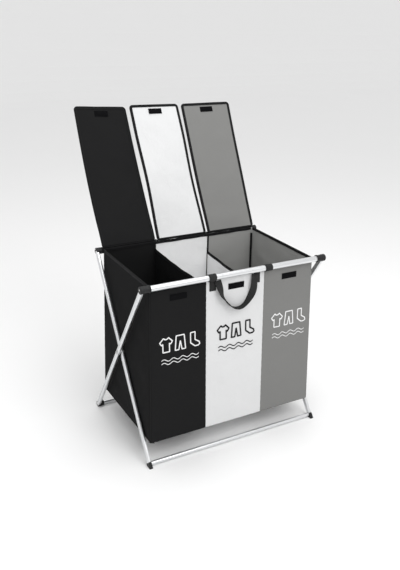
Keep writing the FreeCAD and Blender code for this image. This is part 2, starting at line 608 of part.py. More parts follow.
def flap(colour, place):
    """The lid's front end, which folds down over the rail, with its binding and its tab."""
    half, tip, wall = "dim.lid_width / 2", "dim.flap_length", "dim.binding_wall"
    panel = lid_body(f"flap_{colour}", colour, place, LID_DEPTH_MM)
    tongue(pad, panel, f"({half} - {wall})", "dim.flap_gap", f"({tip} - {wall})",
           f"(dim.corner_round - {wall})", "dim.lid_thick")
    binding = lid_body(f"flap_binding_{colour}", colour, place, LID_DEPTH_MM)
    tongue(pad, binding, half, "dim.flap_gap", tip, "dim.corner_round", f"dim.lid_thick + 2 * {wall}")
    inner = f"({half} - dim.binding_width)"
    pocket(binding, rectangle(binding, "XY", f"-{inner}", inner, f"-({tip} - dim.binding_width)", "0"),
           f"dim.lid_thick + 4 * {wall}")
    tongue(pocket, binding, f"({half} - {wall})", "0", f"({tip} - {wall})",
           f"(dim.corner_round - {wall})", "dim.lid_thick")
    tab = lid_body(f"lid_tab_{colour}", colour, place, LID_DEPTH_MM)
    centre = "(dim.flap_length - dim.tab_inset)"
    pad(tab, rectangle(tab, "XY", "-dim.tab_width / 2", "dim.tab_width / 2",
                       f"-({centre} + dim.tab_height / 2)", f"-({centre} - dim.tab_height / 2)",
                       "-(dim.lid_thick + dim.patch_thick) / 2"), "dim.patch_thick")


# ---------------------------------------------------------------- build and write

def write_parts():
    """Check every object, then write each body's shape as a STEP file named by its label."""
    doc.recompute()
    bad = [o.Label for o in doc.Objects if "Invalid" in o.State or "Error" in o.State]
    bodies = [o for o in doc.Objects if o.TypeId == "PartDesign::Body"]
    bad += [b.Label for b in bodies if b.Shape.isNull() or not b.Shape.isValid() or not b.Shape.Solids]
    if bad:
        raise RuntimeError("failed to build: " + ", ".join(bad))
    os.makedirs("parts", exist_ok=True)
    for body in bodies:
        body.Shape.exportStep(f"parts/{body.Label}.step")
    print(len(bodies), "parts; frames stand at y =", round(MIDDLE_Y, 3))


frames()
pivot()
bag()
for lid_colour, lid_place in COLOURS.items():
    lid(lid_colour, lid_place)
    flap(lid_colour, lid_place)
write_parts()
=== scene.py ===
import json
import logging
import math
from dataclasses import dataclass, field
from enum import Enum
from typing import Callable, Sequence

import bpy
import numpy as np
from mathutils import Matrix, Vector


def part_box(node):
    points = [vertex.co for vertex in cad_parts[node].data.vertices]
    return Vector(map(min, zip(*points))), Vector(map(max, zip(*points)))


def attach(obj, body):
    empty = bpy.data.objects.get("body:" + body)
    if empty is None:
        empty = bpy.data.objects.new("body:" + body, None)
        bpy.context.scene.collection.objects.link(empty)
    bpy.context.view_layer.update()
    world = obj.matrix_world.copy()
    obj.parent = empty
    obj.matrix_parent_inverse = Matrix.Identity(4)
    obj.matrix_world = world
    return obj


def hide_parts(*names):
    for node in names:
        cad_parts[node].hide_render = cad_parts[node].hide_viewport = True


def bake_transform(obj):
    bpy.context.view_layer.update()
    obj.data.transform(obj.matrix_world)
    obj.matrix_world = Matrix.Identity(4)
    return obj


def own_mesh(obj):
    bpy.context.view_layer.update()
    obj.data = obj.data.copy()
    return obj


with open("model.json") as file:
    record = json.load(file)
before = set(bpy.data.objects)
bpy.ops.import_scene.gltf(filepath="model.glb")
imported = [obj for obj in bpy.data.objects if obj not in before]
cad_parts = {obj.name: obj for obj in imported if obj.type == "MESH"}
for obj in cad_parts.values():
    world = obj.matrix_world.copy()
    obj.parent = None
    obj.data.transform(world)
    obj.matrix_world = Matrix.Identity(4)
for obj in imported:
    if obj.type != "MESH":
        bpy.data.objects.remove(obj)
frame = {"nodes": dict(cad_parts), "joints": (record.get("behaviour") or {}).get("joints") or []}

log = logging.getLogger("laundry_sorter")

Array = np.ndarray
Surface = Callable[[Array, Array], Array]
Colour = tuple[float, float, float]


class Named(Enum):
    """A choice whose name is also a word in the CAD nodes' names."""

    @property
    def word(self) -> str:
        """The name as the CAD nodes spell it."""
        return self.name.lower()


class Compartment(Named):
    """The three compartments, from left to right."""

    BLACK = -1
    WHITE = 0
    GREY = 1

    @property
    def slot(self) -> str:
        """The record's material slot for this compartment's cloth."""
        return f"{self.word}_fabric"


class Wall(Named):
    """The two long walls of the bag; the value is the way each faces along Y."""

    FRONT = -1
    REAR = 1

    @property
    def body(self) -> str:
        """The CAD body that this wall rides on."""
        return f"{self.word}_wall"


class End(Named):
    """The two short ends; the value is the way each faces along X."""

    LEFT = -1
    RIGHT = 1


# ---------------------------------------------------------------- node building


class Graph:
    """A small helper that adds nodes to one tree and joins them up."""

    def __init__(self, tree: bpy.types.NodeTree) -> None:
        """Keep the tree that nodes are added to.

        Args:
            tree: A material's tree or a group's tree.
        """
        self.tree = tree

    def add(
        self, kind: str, feeds: dict[str | int, object] | None = None, **settings: object
    ) -> bpy.types.Node:
        """Add a node, set its options and fill its inputs.

        Args:
            kind: The node's type name.
            feeds: Input name or index to a value, or to an output socket to link.
            settings: Properties of the node itself.

        Returns:
            The new node.
        """
        node = self.tree.nodes.new(kind)
        for name, value in settings.items():
            setattr(node, name, value)
        self.fill(node, feeds or {})
        return node

    def fill(self, node: bpy.types.Node, feeds: dict[str | int, object]) -> None:
        """Feed several of a node's inputs, each by its name or index."""
        for key, value in feeds.items():
            self.feed(node.inputs[key], value)

    def feed(self, socket: bpy.types.NodeSocket, value: object) -> None:
        """Link an output to a socket, or set the socket's own value."""
        if isinstance(value, bpy.types.NodeSocket):
            self.tree.links.new(value, socket)
        else:
            socket.default_value = value

    def maths(self, operation: str, *values: object) -> bpy.types.NodeSocket:
        """One Math node.

        Args:
            operation: The node's operation.
            values: Numbers or sockets for its inputs, in order.

        Returns:
            The result socket.
        """
        return self.add("ShaderNodeMath", dict(enumerate(values)), operation=operation).outputs[0]

    def blend(self, share: object, first: object, second: object) -> bpy.types.NodeSocket:
        """Mix two colours by a share.

        Args:
            share: 0 gives the first colour and 1 the second.
            first: A colour or a socket.
            second: A colour or a socket.

        Returns:
            The mixed colour's socket.
        """
        node = self.add("ShaderNodeMix", data_type="RGBA", clamp_factor=True)
        self.fill(node, {0: share, 6: first, 7: second})
        return node.outputs[2]

    def group(self, tree: bpy.types.NodeTree, **values: object) -> bpy.types.Node:
        """Place a shared group in this tree.

        Args:
            tree: The group's tree.
            values: Input name, with _ for a space, to a value or a socket.

        Returns:
            The group node.
        """
        node = self.tree.nodes.new("ShaderNodeGroup")
        node.node_tree = tree
        for name, value in values.items():
            self.feed(node.inputs[name.replace("_", " ")], value)
        return node


def shared_group(name: str, inputs: dict[str, float], outputs: Sequence[str]) -> Callable:
    """Turn a function that fills a shader group into one that builds the group once.

    Args:
        name: The group's name.
        inputs: Each number input's name and default, after a first input called Vector.
        outputs: The name of each number output.

    Returns:
        The decorator.
    """
    def wrap(fill: Callable) -> Callable[[], bpy.types.NodeTree]:
        """Keep the function that fills the group."""
        def build() -> bpy.types.NodeTree:
            """The group, made the first time it is asked for."""
            tree = bpy.data.node_groups.get(name)
            if tree is not None:
                return tree
            tree = bpy.data.node_groups.new(name, "ShaderNodeTree")
            tree.interface.new_socket("Vector", in_out="INPUT", socket_type="NodeSocketVector")
            for label, value in inputs.items():
                socket = tree.interface.new_socket(label, in_out="INPUT", socket_type="NodeSocketFloat")
                socket.default_value = value
            for label in outputs:
                tree.interface.new_socket(label, in_out="OUTPUT", socket_type="NodeSocketFloat")
            graph = Graph(tree)
            start, end = graph.add("NodeGroupInput"), graph.add("NodeGroupOutput")
            fill(graph, start.outputs, end.inputs)
            return tree

        return build

    return wrap


@shared_group("Plain weave", {"Threads": 1250.0, "Unevenness": 0.3}, ("Height", "Shade",))
def weave_group(g: Graph, start: Sequence, end: Sequence) -> None:
    """Plain weave: threads pass over and under each other on a square grid. Shade is the weave's height as
    painted shade, darker between the threads, plus uneven slub.
    """
    slub = g.add("ShaderNodeTexNoise", {"Vector": start["Vector"], "Scale": 260.0, "Detail": 2.0})
    split = g.add("ShaderNodeSeparateXYZ", {0: start["Vector"]})
    turns = g.maths("MULTIPLY", start["Threads"], math.pi)
    waves = []
    for axis in (0, 1):
        waves.append(g.maths("SINE", g.maths("MULTIPLY", split.outputs[axis], turns)))
    over = g.maths("GREATER_THAN", g.maths("MULTIPLY", waves[0], waves[1]), 0.0)
    warp = g.maths("MULTIPLY", g.maths("ABSOLUTE", waves[0]), over)
    weft = g.maths("MULTIPLY", g.maths("ABSOLUTE", waves[1]), g.maths("SUBTRACT", 1.0, over))
    height = g.maths("ADD", warp, weft)
    uneven = g.maths("MULTIPLY", g.maths("SUBTRACT", slub.outputs[0], 0.5), start["Unevenness"])
    g.feed(end["Height"], g.maths("ADD", height, uneven))
    g.feed(end["Shade"], g.maths("ADD", g.maths("MULTIPLY", height, 0.5), uneven))


@shared_group(
    "Stitch rows",
    {"First row": 0.002, "Second row": 0.02, "Pitch": 0.0035, "Thread": 0.0005},
    ("Mask", "Height",),
)
def stitches_group(g: Graph, start: Sequence, end: Sequence) -> None:
    """Rows of sewing: dashes of thread along U at one distance across V, and again at a second."""
    split = g.add("ShaderNodeSeparateXYZ", {0: start["Vector"]})
    away = [
        g.maths("ABSOLUTE", g.maths("SUBTRACT", split.outputs[1], start[row]))
        for row in ("First row", "Second row")
    ]
    near = g.maths("DIVIDE", g.maths("MINIMUM", away[0], away[1]), start["Thread"])
    ridge = g.maths("MAXIMUM", g.maths("SUBTRACT", 1.0, near), 0.0)
    phase = g.maths("FRACT", g.maths("DIVIDE", split.outputs[0], start["Pitch"]))
    dash = g.maths("LESS_THAN", g.maths("ABSOLUTE", g.maths("SUBTRACT", phase, 0.5)), 0.38)
    row = g.maths("MULTIPLY", ridge, dash)
    g.feed(end["Mask"], g.maths("MINIMUM", g.maths("MULTIPLY", row, 2.5), 1.0))
    pucker = g.maths("MAXIMUM", g.maths("SUBTRACT", 1.0, g.maths("DIVIDE", near, 2.2)), 0.0)
    g.feed(end["Height"], g.maths("SUBTRACT", row, g.maths("MULTIPLY", pucker, 0.8)))


@shared_group("Mottle", {"Size": 12.0, "Contrast": 1.0}, ("Value",))
def mottle_group(g: Graph, start: Sequence, end: Sequence) -> None:
    """Slow, uneven variation over a surface, with a finer one on it."""
    coarse = g.add("ShaderNodeTexNoise", {"Vector": start["Vector"],
                                          "Scale": start["Size"], "Detail": 3.0})
    fine = g.add("ShaderNodeTexNoise", {"Vector": start["Vector"],
                                        "Scale": g.maths("MULTIPLY", start["Size"], 9.0),
                                        "Detail": 2.0})
    both = g.maths("ADD", g.maths("MULTIPLY", coarse.outputs[0], 0.65),
                   g.maths("MULTIPLY", fine.outputs[0], 0.35))
    spread = g.maths("MULTIPLY", g.maths("SUBTRACT", both, 0.5), start["Contrast"])
    g.feed(end["Value"], g.add("ShaderNodeClamp", {0: g.maths("ADD", spread, 0.5)}).outputs[0])


@shared_group("Specks", {"Density": 90.0, "Amount": 0.12}, ("Mask",))
def specks_group(g: Graph, start: Sequence, end: Sequence) -> None:
    """Sparse tiny specks, for lint on dark cloth and dust on plastic."""
    cells = g.add("ShaderNodeTexVoronoi", {"Vector": start["Vector"],
                                           "Scale": start["Density"]})
    patch = g.add("ShaderNodeTexNoise", {"Vector": start["Vector"], "Scale": 9.0, "Detail": 2.0})
    dot = g.maths("LESS_THAN", cells.outputs["Distance"],
                  g.maths("MULTIPLY", start["Amount"], patch.outputs[0]))
    g.feed(end["Mask"], dot)


@shared_group("Drawn grain", {"Fineness": 900.0}, ("Value",))
def grain_group(g: Graph, start: Sequence, end: Sequence) -> None:
    """Fine drawn lines along one direction, as extrusion leaves on a tube."""
    lines = g.add("ShaderNodeTexNoise", {"Vector": start["Vector"],
                                         "Scale": start["Fineness"], "Detail": 3.0})
    g.feed(end["Value"], lines.outputs[0])


# ---------------------------------------------------------------- finishes


@dataclass(frozen=True)
class Finish:
    """A surface finish. Each kind adds its own nodes to a Principled shader."""

    name: str
    slot: str

    def material(self) -> bpy.types.Material:
        """The finish as a material, made once and then shared.

        Returns:
            The material.
        """
        known = bpy.data.materials.get(self.name)
        if known is not None:
            return known
        made = bpy.data.materials.new(self.name)
        made.use_nodes = True
        made.node_tree.nodes.clear()
        graph = Graph(made.node_tree)
        output = graph.add("ShaderNodeOutputMaterial")
        shader = graph.add("ShaderNodeBsdfPrincipled")
        graph.feed(output.inputs["Surface"], shader.outputs[0])
        self.dress(graph, shader)
        return made

    def dress(self, g: Graph, shader: bpy.types.Node) -> None:
        """Feed the shader; each kind of finish says how.

        Args:
            g: The material's graph.
            shader: Its Principled node.
        """
        raise NotImplementedError


@dataclass(frozen=True)
class WovenCloth(Finish):
    """Plain-weave polyester, coloured between a dark and a light tone by painted shade between its threads
    and by uneven tone.
    """

    deep: Colour = (0.02, 0.02, 0.02)
    pale: Colour = (0.03, 0.03, 0.03)
    threads: float = 1250.0
    depth: float = 0.00012
    rough: float = 0.82
    sheen: float = 0.15
    lint: float = 0.0
    crease: float = 0.0008

    def dress(self, g: Graph, shader: bpy.types.Node) -> None:
        """Weave and soft creases in the bump; painted shade between the threads, uneven tone and lint in the
        colour.
        """
        place = g.add("ShaderNodeTexCoord")
        cloth, solid = place.outputs["UV"], place.outputs["Object"]
        weave = g.group(weave_group(), Vector=cloth, Threads=self.threads)
        mottle = g.group(mottle_group(), Vector=solid, Size=11.0, Contrast=0.6)
        # The weave's Shade darkens the hollows between threads, which is painted shade, and the mottle adds
        # random tone.
        tone = g.maths("ADD", g.maths("MULTIPLY", weave.outputs["Shade"], 0.5),
                       g.maths("MULTIPLY", mottle.outputs[0], 0.5))
        colour = g.blend(tone, (*self.deep, 1), (*self.pale, 1))
        if self.lint:
            lint = g.group(specks_group(), Vector=solid, Density=150.0, Amount=self.lint)
            soft = g.maths("MULTIPLY", lint.outputs[0], 0.35)
            colour = g.blend(soft, colour, (0.22, 0.22, 0.22, 1))
        g.feed(shader.inputs["Base Color"], colour)
        g.feed(shader.inputs["Roughness"],
               g.maths("MULTIPLY_ADD", mottle.outputs[0], 0.12, self.rough - 0.06))
        g.fill(shader, {"Sheen Weight": self.sheen, "Sheen Roughness": 0.5, "Specular IOR Level": 0.02})
        folds = g.add("ShaderNodeTexNoise", {"Vector": solid, "Scale": 26.0, "Detail": 3.0,
                                             "Distortion": 0.6})
        broad = g.add("ShaderNodeBump", {"Height": folds.outputs[0], "Distance": self.crease,
                                         "Strength": 0.6})
        fine = g.add("ShaderNodeBump", {"Height": weave.outputs["Height"], "Distance": self.depth,
                                        "Strength": 0.5, "Normal": broad.outputs[0]})
        g.feed(shader.inputs["Normal"], fine.outputs[0])


@dataclass(frozen=True)
class SewnTape(Finish):
    """Ribbed woven tape with a row of stitches near each edge."""

    tone: Colour = (0.006, 0.006, 0.0065)
    thread: Colour = (0.018, 0.018, 0.018)
    ribs: float = 900.0
    first_row: float = 0.0016
    second_row: float = 0.0204
    sheen: float = 0.02

    def dress(self, g: Graph, shader: bpy.types.Node) -> None:
        """Ribs across the tape, in the bump and as painted shade between them in the colour; stitches along
        it, and a slightly worn tone.
        """
        place = g.add("ShaderNodeTexCoord")
        strip = place.outputs["UV"]
        split = g.add("ShaderNodeSeparateXYZ", {0: strip})
        turns = g.maths("MULTIPLY", split.outputs[0], self.ribs * math.pi)
        rib = g.maths("ABSOLUTE", g.maths("SINE", turns))
        sewing = g.group(stitches_group(), Vector=strip, First_row=self.first_row,
                         Second_row=self.second_row)
        mottle = g.group(mottle_group(), Vector=place.outputs["Object"], Size=40.0, Contrast=1.5)
        low = tuple(0.7 * c for c in self.tone)
        high = tuple(1.5 * c for c in self.tone)
        # Ribs paler on their crests and darker between them, which is painted shade, mixed with random
        # mottle for the worn tone.
        colour = g.blend(g.maths("MULTIPLY_ADD", rib, 0.4, g.maths("MULTIPLY", mottle.outputs[0], 0.6)),
                         (*low, 1), (*high, 1))
        g.feed(shader.inputs["Base Color"], g.blend(sewing.outputs["Mask"], colour, (*self.thread, 1)))
        g.feed(shader.inputs["Roughness"], g.maths("MULTIPLY_ADD", rib, 0.1, 0.68))
        g.fill(shader, {"Sheen Weight": self.sheen, "Specular IOR Level": 0.12})
        ribbed = g.add("ShaderNodeBump", {"Height": rib, "Distance": 0.00015, "Strength": 0.6})
        sewn = g.add("ShaderNodeBump", {"Height": sewing.outputs["Height"], "Distance": 0.0006,
                                        "Strength": 0.8, "Normal": ribbed.outputs[0]})
        g.feed(shader.inputs["Normal"], sewn.outputs[0])


@dataclass(frozen=True)
class DrawnMetal(Finish):
    """Satin anodised tube with fine lines along its length."""

    tone: Colour = (0.80, 0.81, 0.82)
    rough: float = 0.3
    stretch: tuple[float, float, float] = (0.01, 1.0, 1.0)
    turn: float = 0.0

    def dress(self, g: Graph, shader: bpy.types.Node) -> None:
        """Lines in roughness, tone and bump; small handling marks in the roughness."""
        place = g.add("ShaderNodeTexCoord")
        lined = g.add("ShaderNodeMapping", {"Vector": place.outputs["Object"], "Scale": self.stretch},
                      vector_type="TEXTURE" if self.turn else "POINT")
        if self.turn:
            lined.inputs["Rotation"].default_value = (self.turn, 0, 0)
            lined.inputs["Scale"].default_value = tuple(1 / s for s in self.stretch)
        grain = g.group(grain_group(), Vector=lined.outputs[0], Fineness=700.0)
        mottle = g.group(mottle_group(), Vector=place.outputs["Object"], Size=30.0, Contrast=1.6)
        tone = g.maths("ADD", g.maths("MULTIPLY", grain.outputs[0], 0.6),
                       g.maths("MULTIPLY", mottle.outputs[0], 0.4))
        low = tuple(0.88 * c for c in self.tone)
        g.feed(shader.inputs["Base Color"], g.blend(tone, (*low, 1), (*self.tone, 1)))
        g.feed(shader.inputs["Roughness"], g.maths("MULTIPLY_ADD", tone, 0.16, self.rough - 0.08))
        g.fill(shader, {"Metallic": 1.0})
        bump = g.add("ShaderNodeBump", {"Height": grain.outputs[0], "Distance": 0.00004, "Strength": 0.5})
        g.feed(shader.inputs["Normal"], bump.outputs[0])


@dataclass(frozen=True)
class MouldedPlastic(Finish):
    """Black moulded plastic with a fine spark texture and a little dust."""

    tone: Colour = (0.008, 0.008, 0.0085)
    rough: float = 0.5

    def dress(self, g: Graph, shader: bpy.types.Node) -> None:
        """Texture in the bump, uneven gloss and pale dust."""
        g.fill(shader, {"Specular IOR Level": 0.3})
        place = g.add("ShaderNodeTexCoord").outputs["Object"]
        mottle = g.group(mottle_group(), Vector=place, Size=60.0, Contrast=1.5)
        dust = g.group(specks_group(), Vector=place, Density=420.0, Amount=0.16)
        high = tuple(1.7 * c for c in self.tone)
        colour = g.blend(mottle.outputs[0], (*self.tone, 1), (*high, 1))
        g.feed(shader.inputs["Base Color"],
               g.blend(g.maths("MULTIPLY", dust.outputs[0], 0.25), colour, (0.2, 0.2, 0.2, 1)))
        g.feed(shader.inputs["Roughness"],
               g.maths("MULTIPLY_ADD", mottle.outputs[0], 0.16, self.rough - 0.08))
        spark = g.add("ShaderNodeTexNoise", {"Vector": place, "Scale": 1500.0, "Detail": 2.0})
        bump = g.add("ShaderNodeBump", {"Height": spark.outputs[0], "Distance": 0.00006, "Strength": 0.5})
        g.feed(shader.inputs["Normal"], bump.outputs[0])


@dataclass(frozen=True)
class PileTape(Finish):
    """Hook-and-loop tape: short uneven pile, sewn round its border."""

    tone: Colour = (0.004, 0.004, 0.0045)

    def dress(self, g: Graph, shader: bpy.types.Node) -> None:
        """Fuzzy bump, with the pile's hollows darker in the colour as painted shade, and a slightly uneven
        tone.
        """
        place = g.add("ShaderNodeTexCoord").outputs["Object"]
        pile = g.add("ShaderNodeTexVoronoi", {"Vector": place, "Scale": 1100.0})
        mottle = g.group(mottle_group(), Vector=place, Size=150.0, Contrast=1.8)
        high = tuple(2.4 * c for c in self.tone)
        # The pile's height also drives the colour, darker in its hollows: painted shade, times random
        # mottle.
        g.feed(shader.inputs["Base Color"],
               g.blend(g.maths("MULTIPLY", pile.outputs["Distance"], mottle.outputs[0]),
                       (*self.tone, 1), (*high, 1)))
        g.feed(shader.inputs["Roughness"], g.maths("MULTIPLY_ADD", mottle.outputs[0], 0.1, 0.85))
        g.fill(shader, {"Specular IOR Level": 0.03})
        bump = g.add("ShaderNodeBump", {"Height": pile.outputs["Distance"], "Distance": 0.0004,
                                        "Strength": 0.8})
        g.feed(shader.inputs["Normal"], bump.outputs[0])


@dataclass(frozen=True)
class ScreenInk(Finish):
    """Screen-printed ink that lets the weave show through."""

    tone: Colour = (0.85, 0.85, 0.85)

    def dress(self, g: Graph, shader: bpy.types.Node) -> None:
        """Nearly even ink, thinner here and there."""
        g.fill(shader, {"Specular IOR Level": 0.08})
        place = g.add("ShaderNodeTexCoord").outputs["Object"]
        mottle = g.group(mottle_group(), Vector=place, Size=220.0, Contrast=1.2)
        low = tuple(0.86 * c for c in self.tone)
        g.feed(shader.inputs["Base Color"], g.blend(mottle.outputs[0], (*low, 1), (*self.tone, 1)))
        g.feed(shader.inputs["Roughness"], g.maths("MULTIPLY_ADD", mottle.outputs[0], 0.15, 0.5))
        bump = g.add("ShaderNodeBump", {"Height": mottle.outputs[0], "Distance": 0.0001, "Strength": 0.5})
        g.feed(shader.inputs["Normal"], bump.outputs[0])


CLOTHS: dict[Compartment, WovenCloth] = {
    Compartment.BLACK: WovenCloth("black_cloth", "black_fabric", (0.0115, 0.0115, 0.0118),
                                  (0.019, 0.019, 0.0194), sheen=0.0, lint=0.05),
    Compartment.WHITE: WovenCloth("white_cloth", "white_fabric", (0.63, 0.635, 0.64),
                                  (0.71, 0.71, 0.71), sheen=0.03, crease=0.0022),
    Compartment.GREY: WovenCloth("grey_cloth", "grey_fabric", (0.185, 0.185, 0.18),
                                 (0.228, 0.228, 0.222), sheen=0.02),
}
# Lighter copies of the white and grey cloths for the faces inside the bag: painted light, the same cloth
# made brighter where light reaches inside. The black one is the cloth itself.
INSIDE_CLOTHS_PAINTED_LIGHTER: dict[Compartment, WovenCloth] = {
    Compartment.BLACK: CLOTHS[Compartment.BLACK],
    Compartment.WHITE: WovenCloth("white_lining", "white_fabric", (0.84, 0.845, 0.85),
                                  (0.90, 0.90, 0.90), sheen=0.03, crease=0.0022),
    Compartment.GREY: WovenCloth("grey_lining", "grey_fabric", (0.32, 0.32, 0.312),
                                 (0.38, 0.38, 0.37), sheen=0.02),
}
BINDING = SewnTape("binding_tape", "binding")
WEBBING = SewnTape("webbing", "webbing", (0.006, 0.006, 0.0065), ribs=620.0, first_row=0.0022,
                   second_row=0.0168)
PLASTIC = MouldedPlastic("black_plastic", "moulded_plastic")
PILE = PileTape("pile_tape", "hook_loop")
INKS: dict[Compartment, ScreenInk] = {
    Compartment.BLACK: ScreenInk("pale_ink", "white_fabric"),
    Compartment.WHITE: ScreenInk("dark_ink", "black_fabric", (0.02, 0.02, 0.021)),
    Compartment.GREY: ScreenInk("pale_ink", "white_fabric"),
}
STEEL = DrawnMetal("plated_steel", "steel_fastener", (0.62, 0.62, 0.62), 0.32, (1.0, 1.0, 1.0))


# ---------------------------------------------------------------- mesh work


def only(*objects: bpy.types.Object) -> None:
    """Select these objects and nothing else, the first one active."""
    bpy.ops.object.select_all(action="DESELECT")
    for item in objects:
        item.select_set(True)
    bpy.context.view_layer.objects.active = objects[0]


def points_of(item: bpy.types.Object) -> Array:
    """An object's vertices as an (n, 3) array."""
    flat = np.zeros(len(item.data.vertices) * 3)
    item.data.vertices.foreach_get("co", flat)
    return flat.reshape(-1, 3)


def move_points(item: bpy.types.Object, places: Array) -> None:
    """Put an object's vertices at these places."""
    item.data.vertices.foreach_set("co", np.asarray(places, np.float32).ravel())
    item.data.update()


def uv_of(item: bpy.types.Object) -> Array:
    """An object's active UV map as an (n, 2) array."""
    layer = item.data.uv_layers.active
    flat = np.zeros(len(layer.data) * 2)
    layer.data.foreach_get("uv", flat)
    return flat.reshape(-1, 2)


def set_uv(item: bpy.types.Object, uv: Array) -> None:
    """Fill an object's active UV map."""
    item.data.uv_layers.active.data.foreach_set("uv", uv.ravel())


def unit(rows: Array) -> Array:
    """Rows scaled to length 1."""
    return rows / np.linalg.norm(rows, axis=1)[:, None]


def run_along(path: Array) -> Array:
    """The distance walked to each place on a path."""
    return np.r_[0, np.cumsum(np.linalg.norm(np.diff(path, axis=0), axis=1))]


def rolled_in(distance: Array, radius: float) -> Array:
    """How far cloth curves in near an edge, at a distance from it."""
    inside = np.clip(1 - distance / radius, 0, 1)
    return radius * (1 - np.sqrt(np.clip(1 - inside**2, 0, 1)))


def bunched(s: Array, amount: float) -> Array:
    """Grid lines drawn closer together near both ends, where the cloth curves."""
    return s - amount * np.sin(2 * math.pi * s)


def in_edit_mode(item: bpy.types.Object, *steps: Callable[[], object]) -> None:
    """Run operators on the whole of one mesh in edit mode.

    Args:
        item: The object.
        steps: Calls to make, in order, each with everything selected.
    """
    only(item)
    bpy.ops.object.mode_set(mode="EDIT")
    for step in steps:
        bpy.ops.mesh.select_all(action="SELECT")
        step()
    bpy.ops.object.mode_set(mode="OBJECT")


def apply_modifier(item: bpy.types.Object, kind: str, **settings: object) -> None:
    """Add one modifier with its settings and apply it.

    Args:
        item: The object.
        kind: The modifier's type.
        settings: Properties of the modifier.
    """
    only(item)
    modifier = item.modifiers.new(kind.lower(), kind)
    for name, value in settings.items():
        setattr(modifier, name, value)
    bpy.ops.object.modifier_apply(modifier=modifier.name)


def smooth(item: bpy.types.Object, degrees: float = 35.0) -> None:
    """Shade smoothly, but keep edges sharper than an angle."""
    only(item)
    bpy.ops.object.shade_smooth_by_angle(angle=math.radians(degrees))


def lay_grid(
    name: str, columns: int, rows: int, surface: Surface, size: tuple[float, float]
) -> bpy.types.Object:
    """Lay a grid primitive over a surface, with a UV map in metres.

    Args:
        name: The new object's name.
        columns: Faces across, along the surface's first direction.
        rows: Faces along its second direction.
        surface: Takes two arrays from 0 to 1 and returns their places.
        size: The flat size of the cloth in metres.

    Returns:
        The object.
    """
    bpy.ops.object.select_all(action="DESELECT")
    bpy.ops.mesh.primitive_grid_add(x_subdivisions=columns, y_subdivisions=rows, size=1.0)
    item = bpy.context.object
    item.name = item.data.name = name
    flat = points_of(item)
    move_points(item, surface(flat[:, 0] + 0.5, flat[:, 1] + 0.5))
    set_uv(item, uv_of(item) * np.array(size))
    return item


def cloth_sheet(
    name: str, columns: int, rows: int, surface: Surface, size: tuple[float, float],
    faces: Sequence[Finish], thickness: float = 0.0014, offset: float = 0.0,
) -> bpy.types.Object:
    """A sheet of cloth with real thickness.

    Args:
        name: The piece's name.
        columns: Faces across.
        rows: Faces along.
        surface: Where the sheet lies.
        size: Its flat size in metres.
        faces: The finish of its front, and of its back if that differs.
        thickness: How thick it is.
        offset: Which side of the surface it thickens to, from -1 to 1.

    Returns:
        The piece.
    """
    item = lay_grid(name, columns, rows, surface, size)
    for finish in faces:
        item.data.materials.append(finish.material())
    apply_modifier(item, "SOLIDIFY", thickness=thickness, offset=offset, use_even_offset=True,
                   material_offset=len(faces) - 1)
    smooth(item, 60)
    return item


def swept(
    name: str, profile: Array, path: Array, across: Array, up: Array, finish: Finish, closed: bool = False
) -> bpy.types.Object:
    """A closed profile carried along a path, as tape and webbing are.

    Args:
        name: The piece's name.
        profile: (m, 2) outline, as distances along across and up.
        path: (n, 3) places of the profile's origin.
        across: (n, 3) or (3,) direction of the profile's first axis.
        up: (n, 3) or (3,) direction of the profile's second axis.
        finish: The piece's finish.
        closed: Whether the path's end meets its start.

    Returns:
        The piece.
    """
    outline = np.vstack([profile, profile[:1]])
    steps, turns = len(path), len(outline)
    across = np.broadcast_to(np.asarray(across, float), path.shape)
    up = np.broadcast_to(np.asarray(up, float), path.shape)
    run, around = run_along(path), run_along(outline)

    def surface(s: Array, t: Array) -> Array:
        """Where each grid point goes."""
        i = np.rint(s * (steps - 1)).astype(int)
        j = np.rint(t * (turns - 1)).astype(int)
        return path[i] + across[i] * outline[j, :1] + up[i] * outline[j, 1:]

    item = lay_grid(name, steps - 1, turns - 1, surface, (1.0, 1.0))
    uv = uv_of(item)
    uv[:, 0] = np.interp(uv[:, 0], np.linspace(0, 1, steps), run)
    uv[:, 1] = np.interp(uv[:, 1], np.linspace(0, 1, turns), around)
    set_uv(item, uv)
    work = [lambda: bpy.ops.mesh.remove_doubles(threshold=1e-6)]
    if not closed:
        work.append(lambda: bpy.ops.mesh.fill_holes(sides=0))
    work.append(lambda: bpy.ops.mesh.normals_make_consistent(inside=False))
    in_edit_mode(item, *work)
    item.data.materials.append(finish.material())
    smooth(item, 40)
    return item


def u_profile(thick: float, width: float, wall: float, over: float) -> Array:
    """The outline of a tape folded over an edge.

    Args:
        thick: Outside thickness of the fold.
        width: How far it reaches down each face.
        wall: Thickness of the tape.
        over: How far it stands above the edge.

    Returns:
        The (m, 2) outline: across, up.
    """
    half = thick / 2
    bend = [
        (half * math.cos(a), over - half * 0.7 + half * 0.7 * math.sin(a))
        for a in np.linspace(0, math.pi, 7)
    ]
    inside = half - wall
    return np.array([(half * 0.9, -width), (half, -width + 0.0006), *bend, (-half, -width + 0.0006),
                     (-half * 0.9, -width), (-inside, -width), (-inside, over - wall), (inside, over - wall),
                     (inside, -width)])


def strap_profile(width: float, thick: float) -> Array:
    """The outline of flat webbing with soft edges: across its width, then its thickness."""
    w, t = width / 2, thick / 2
    return np.array([(-w, -t * 0.3), (-w + t * 0.8, -t), (w - t * 0.8, -t), (w, -t * 0.3), (w, t * 0.3),
                     (w - t * 0.8, t), (-w + t * 0.8, t), (-w, t * 0.3)])


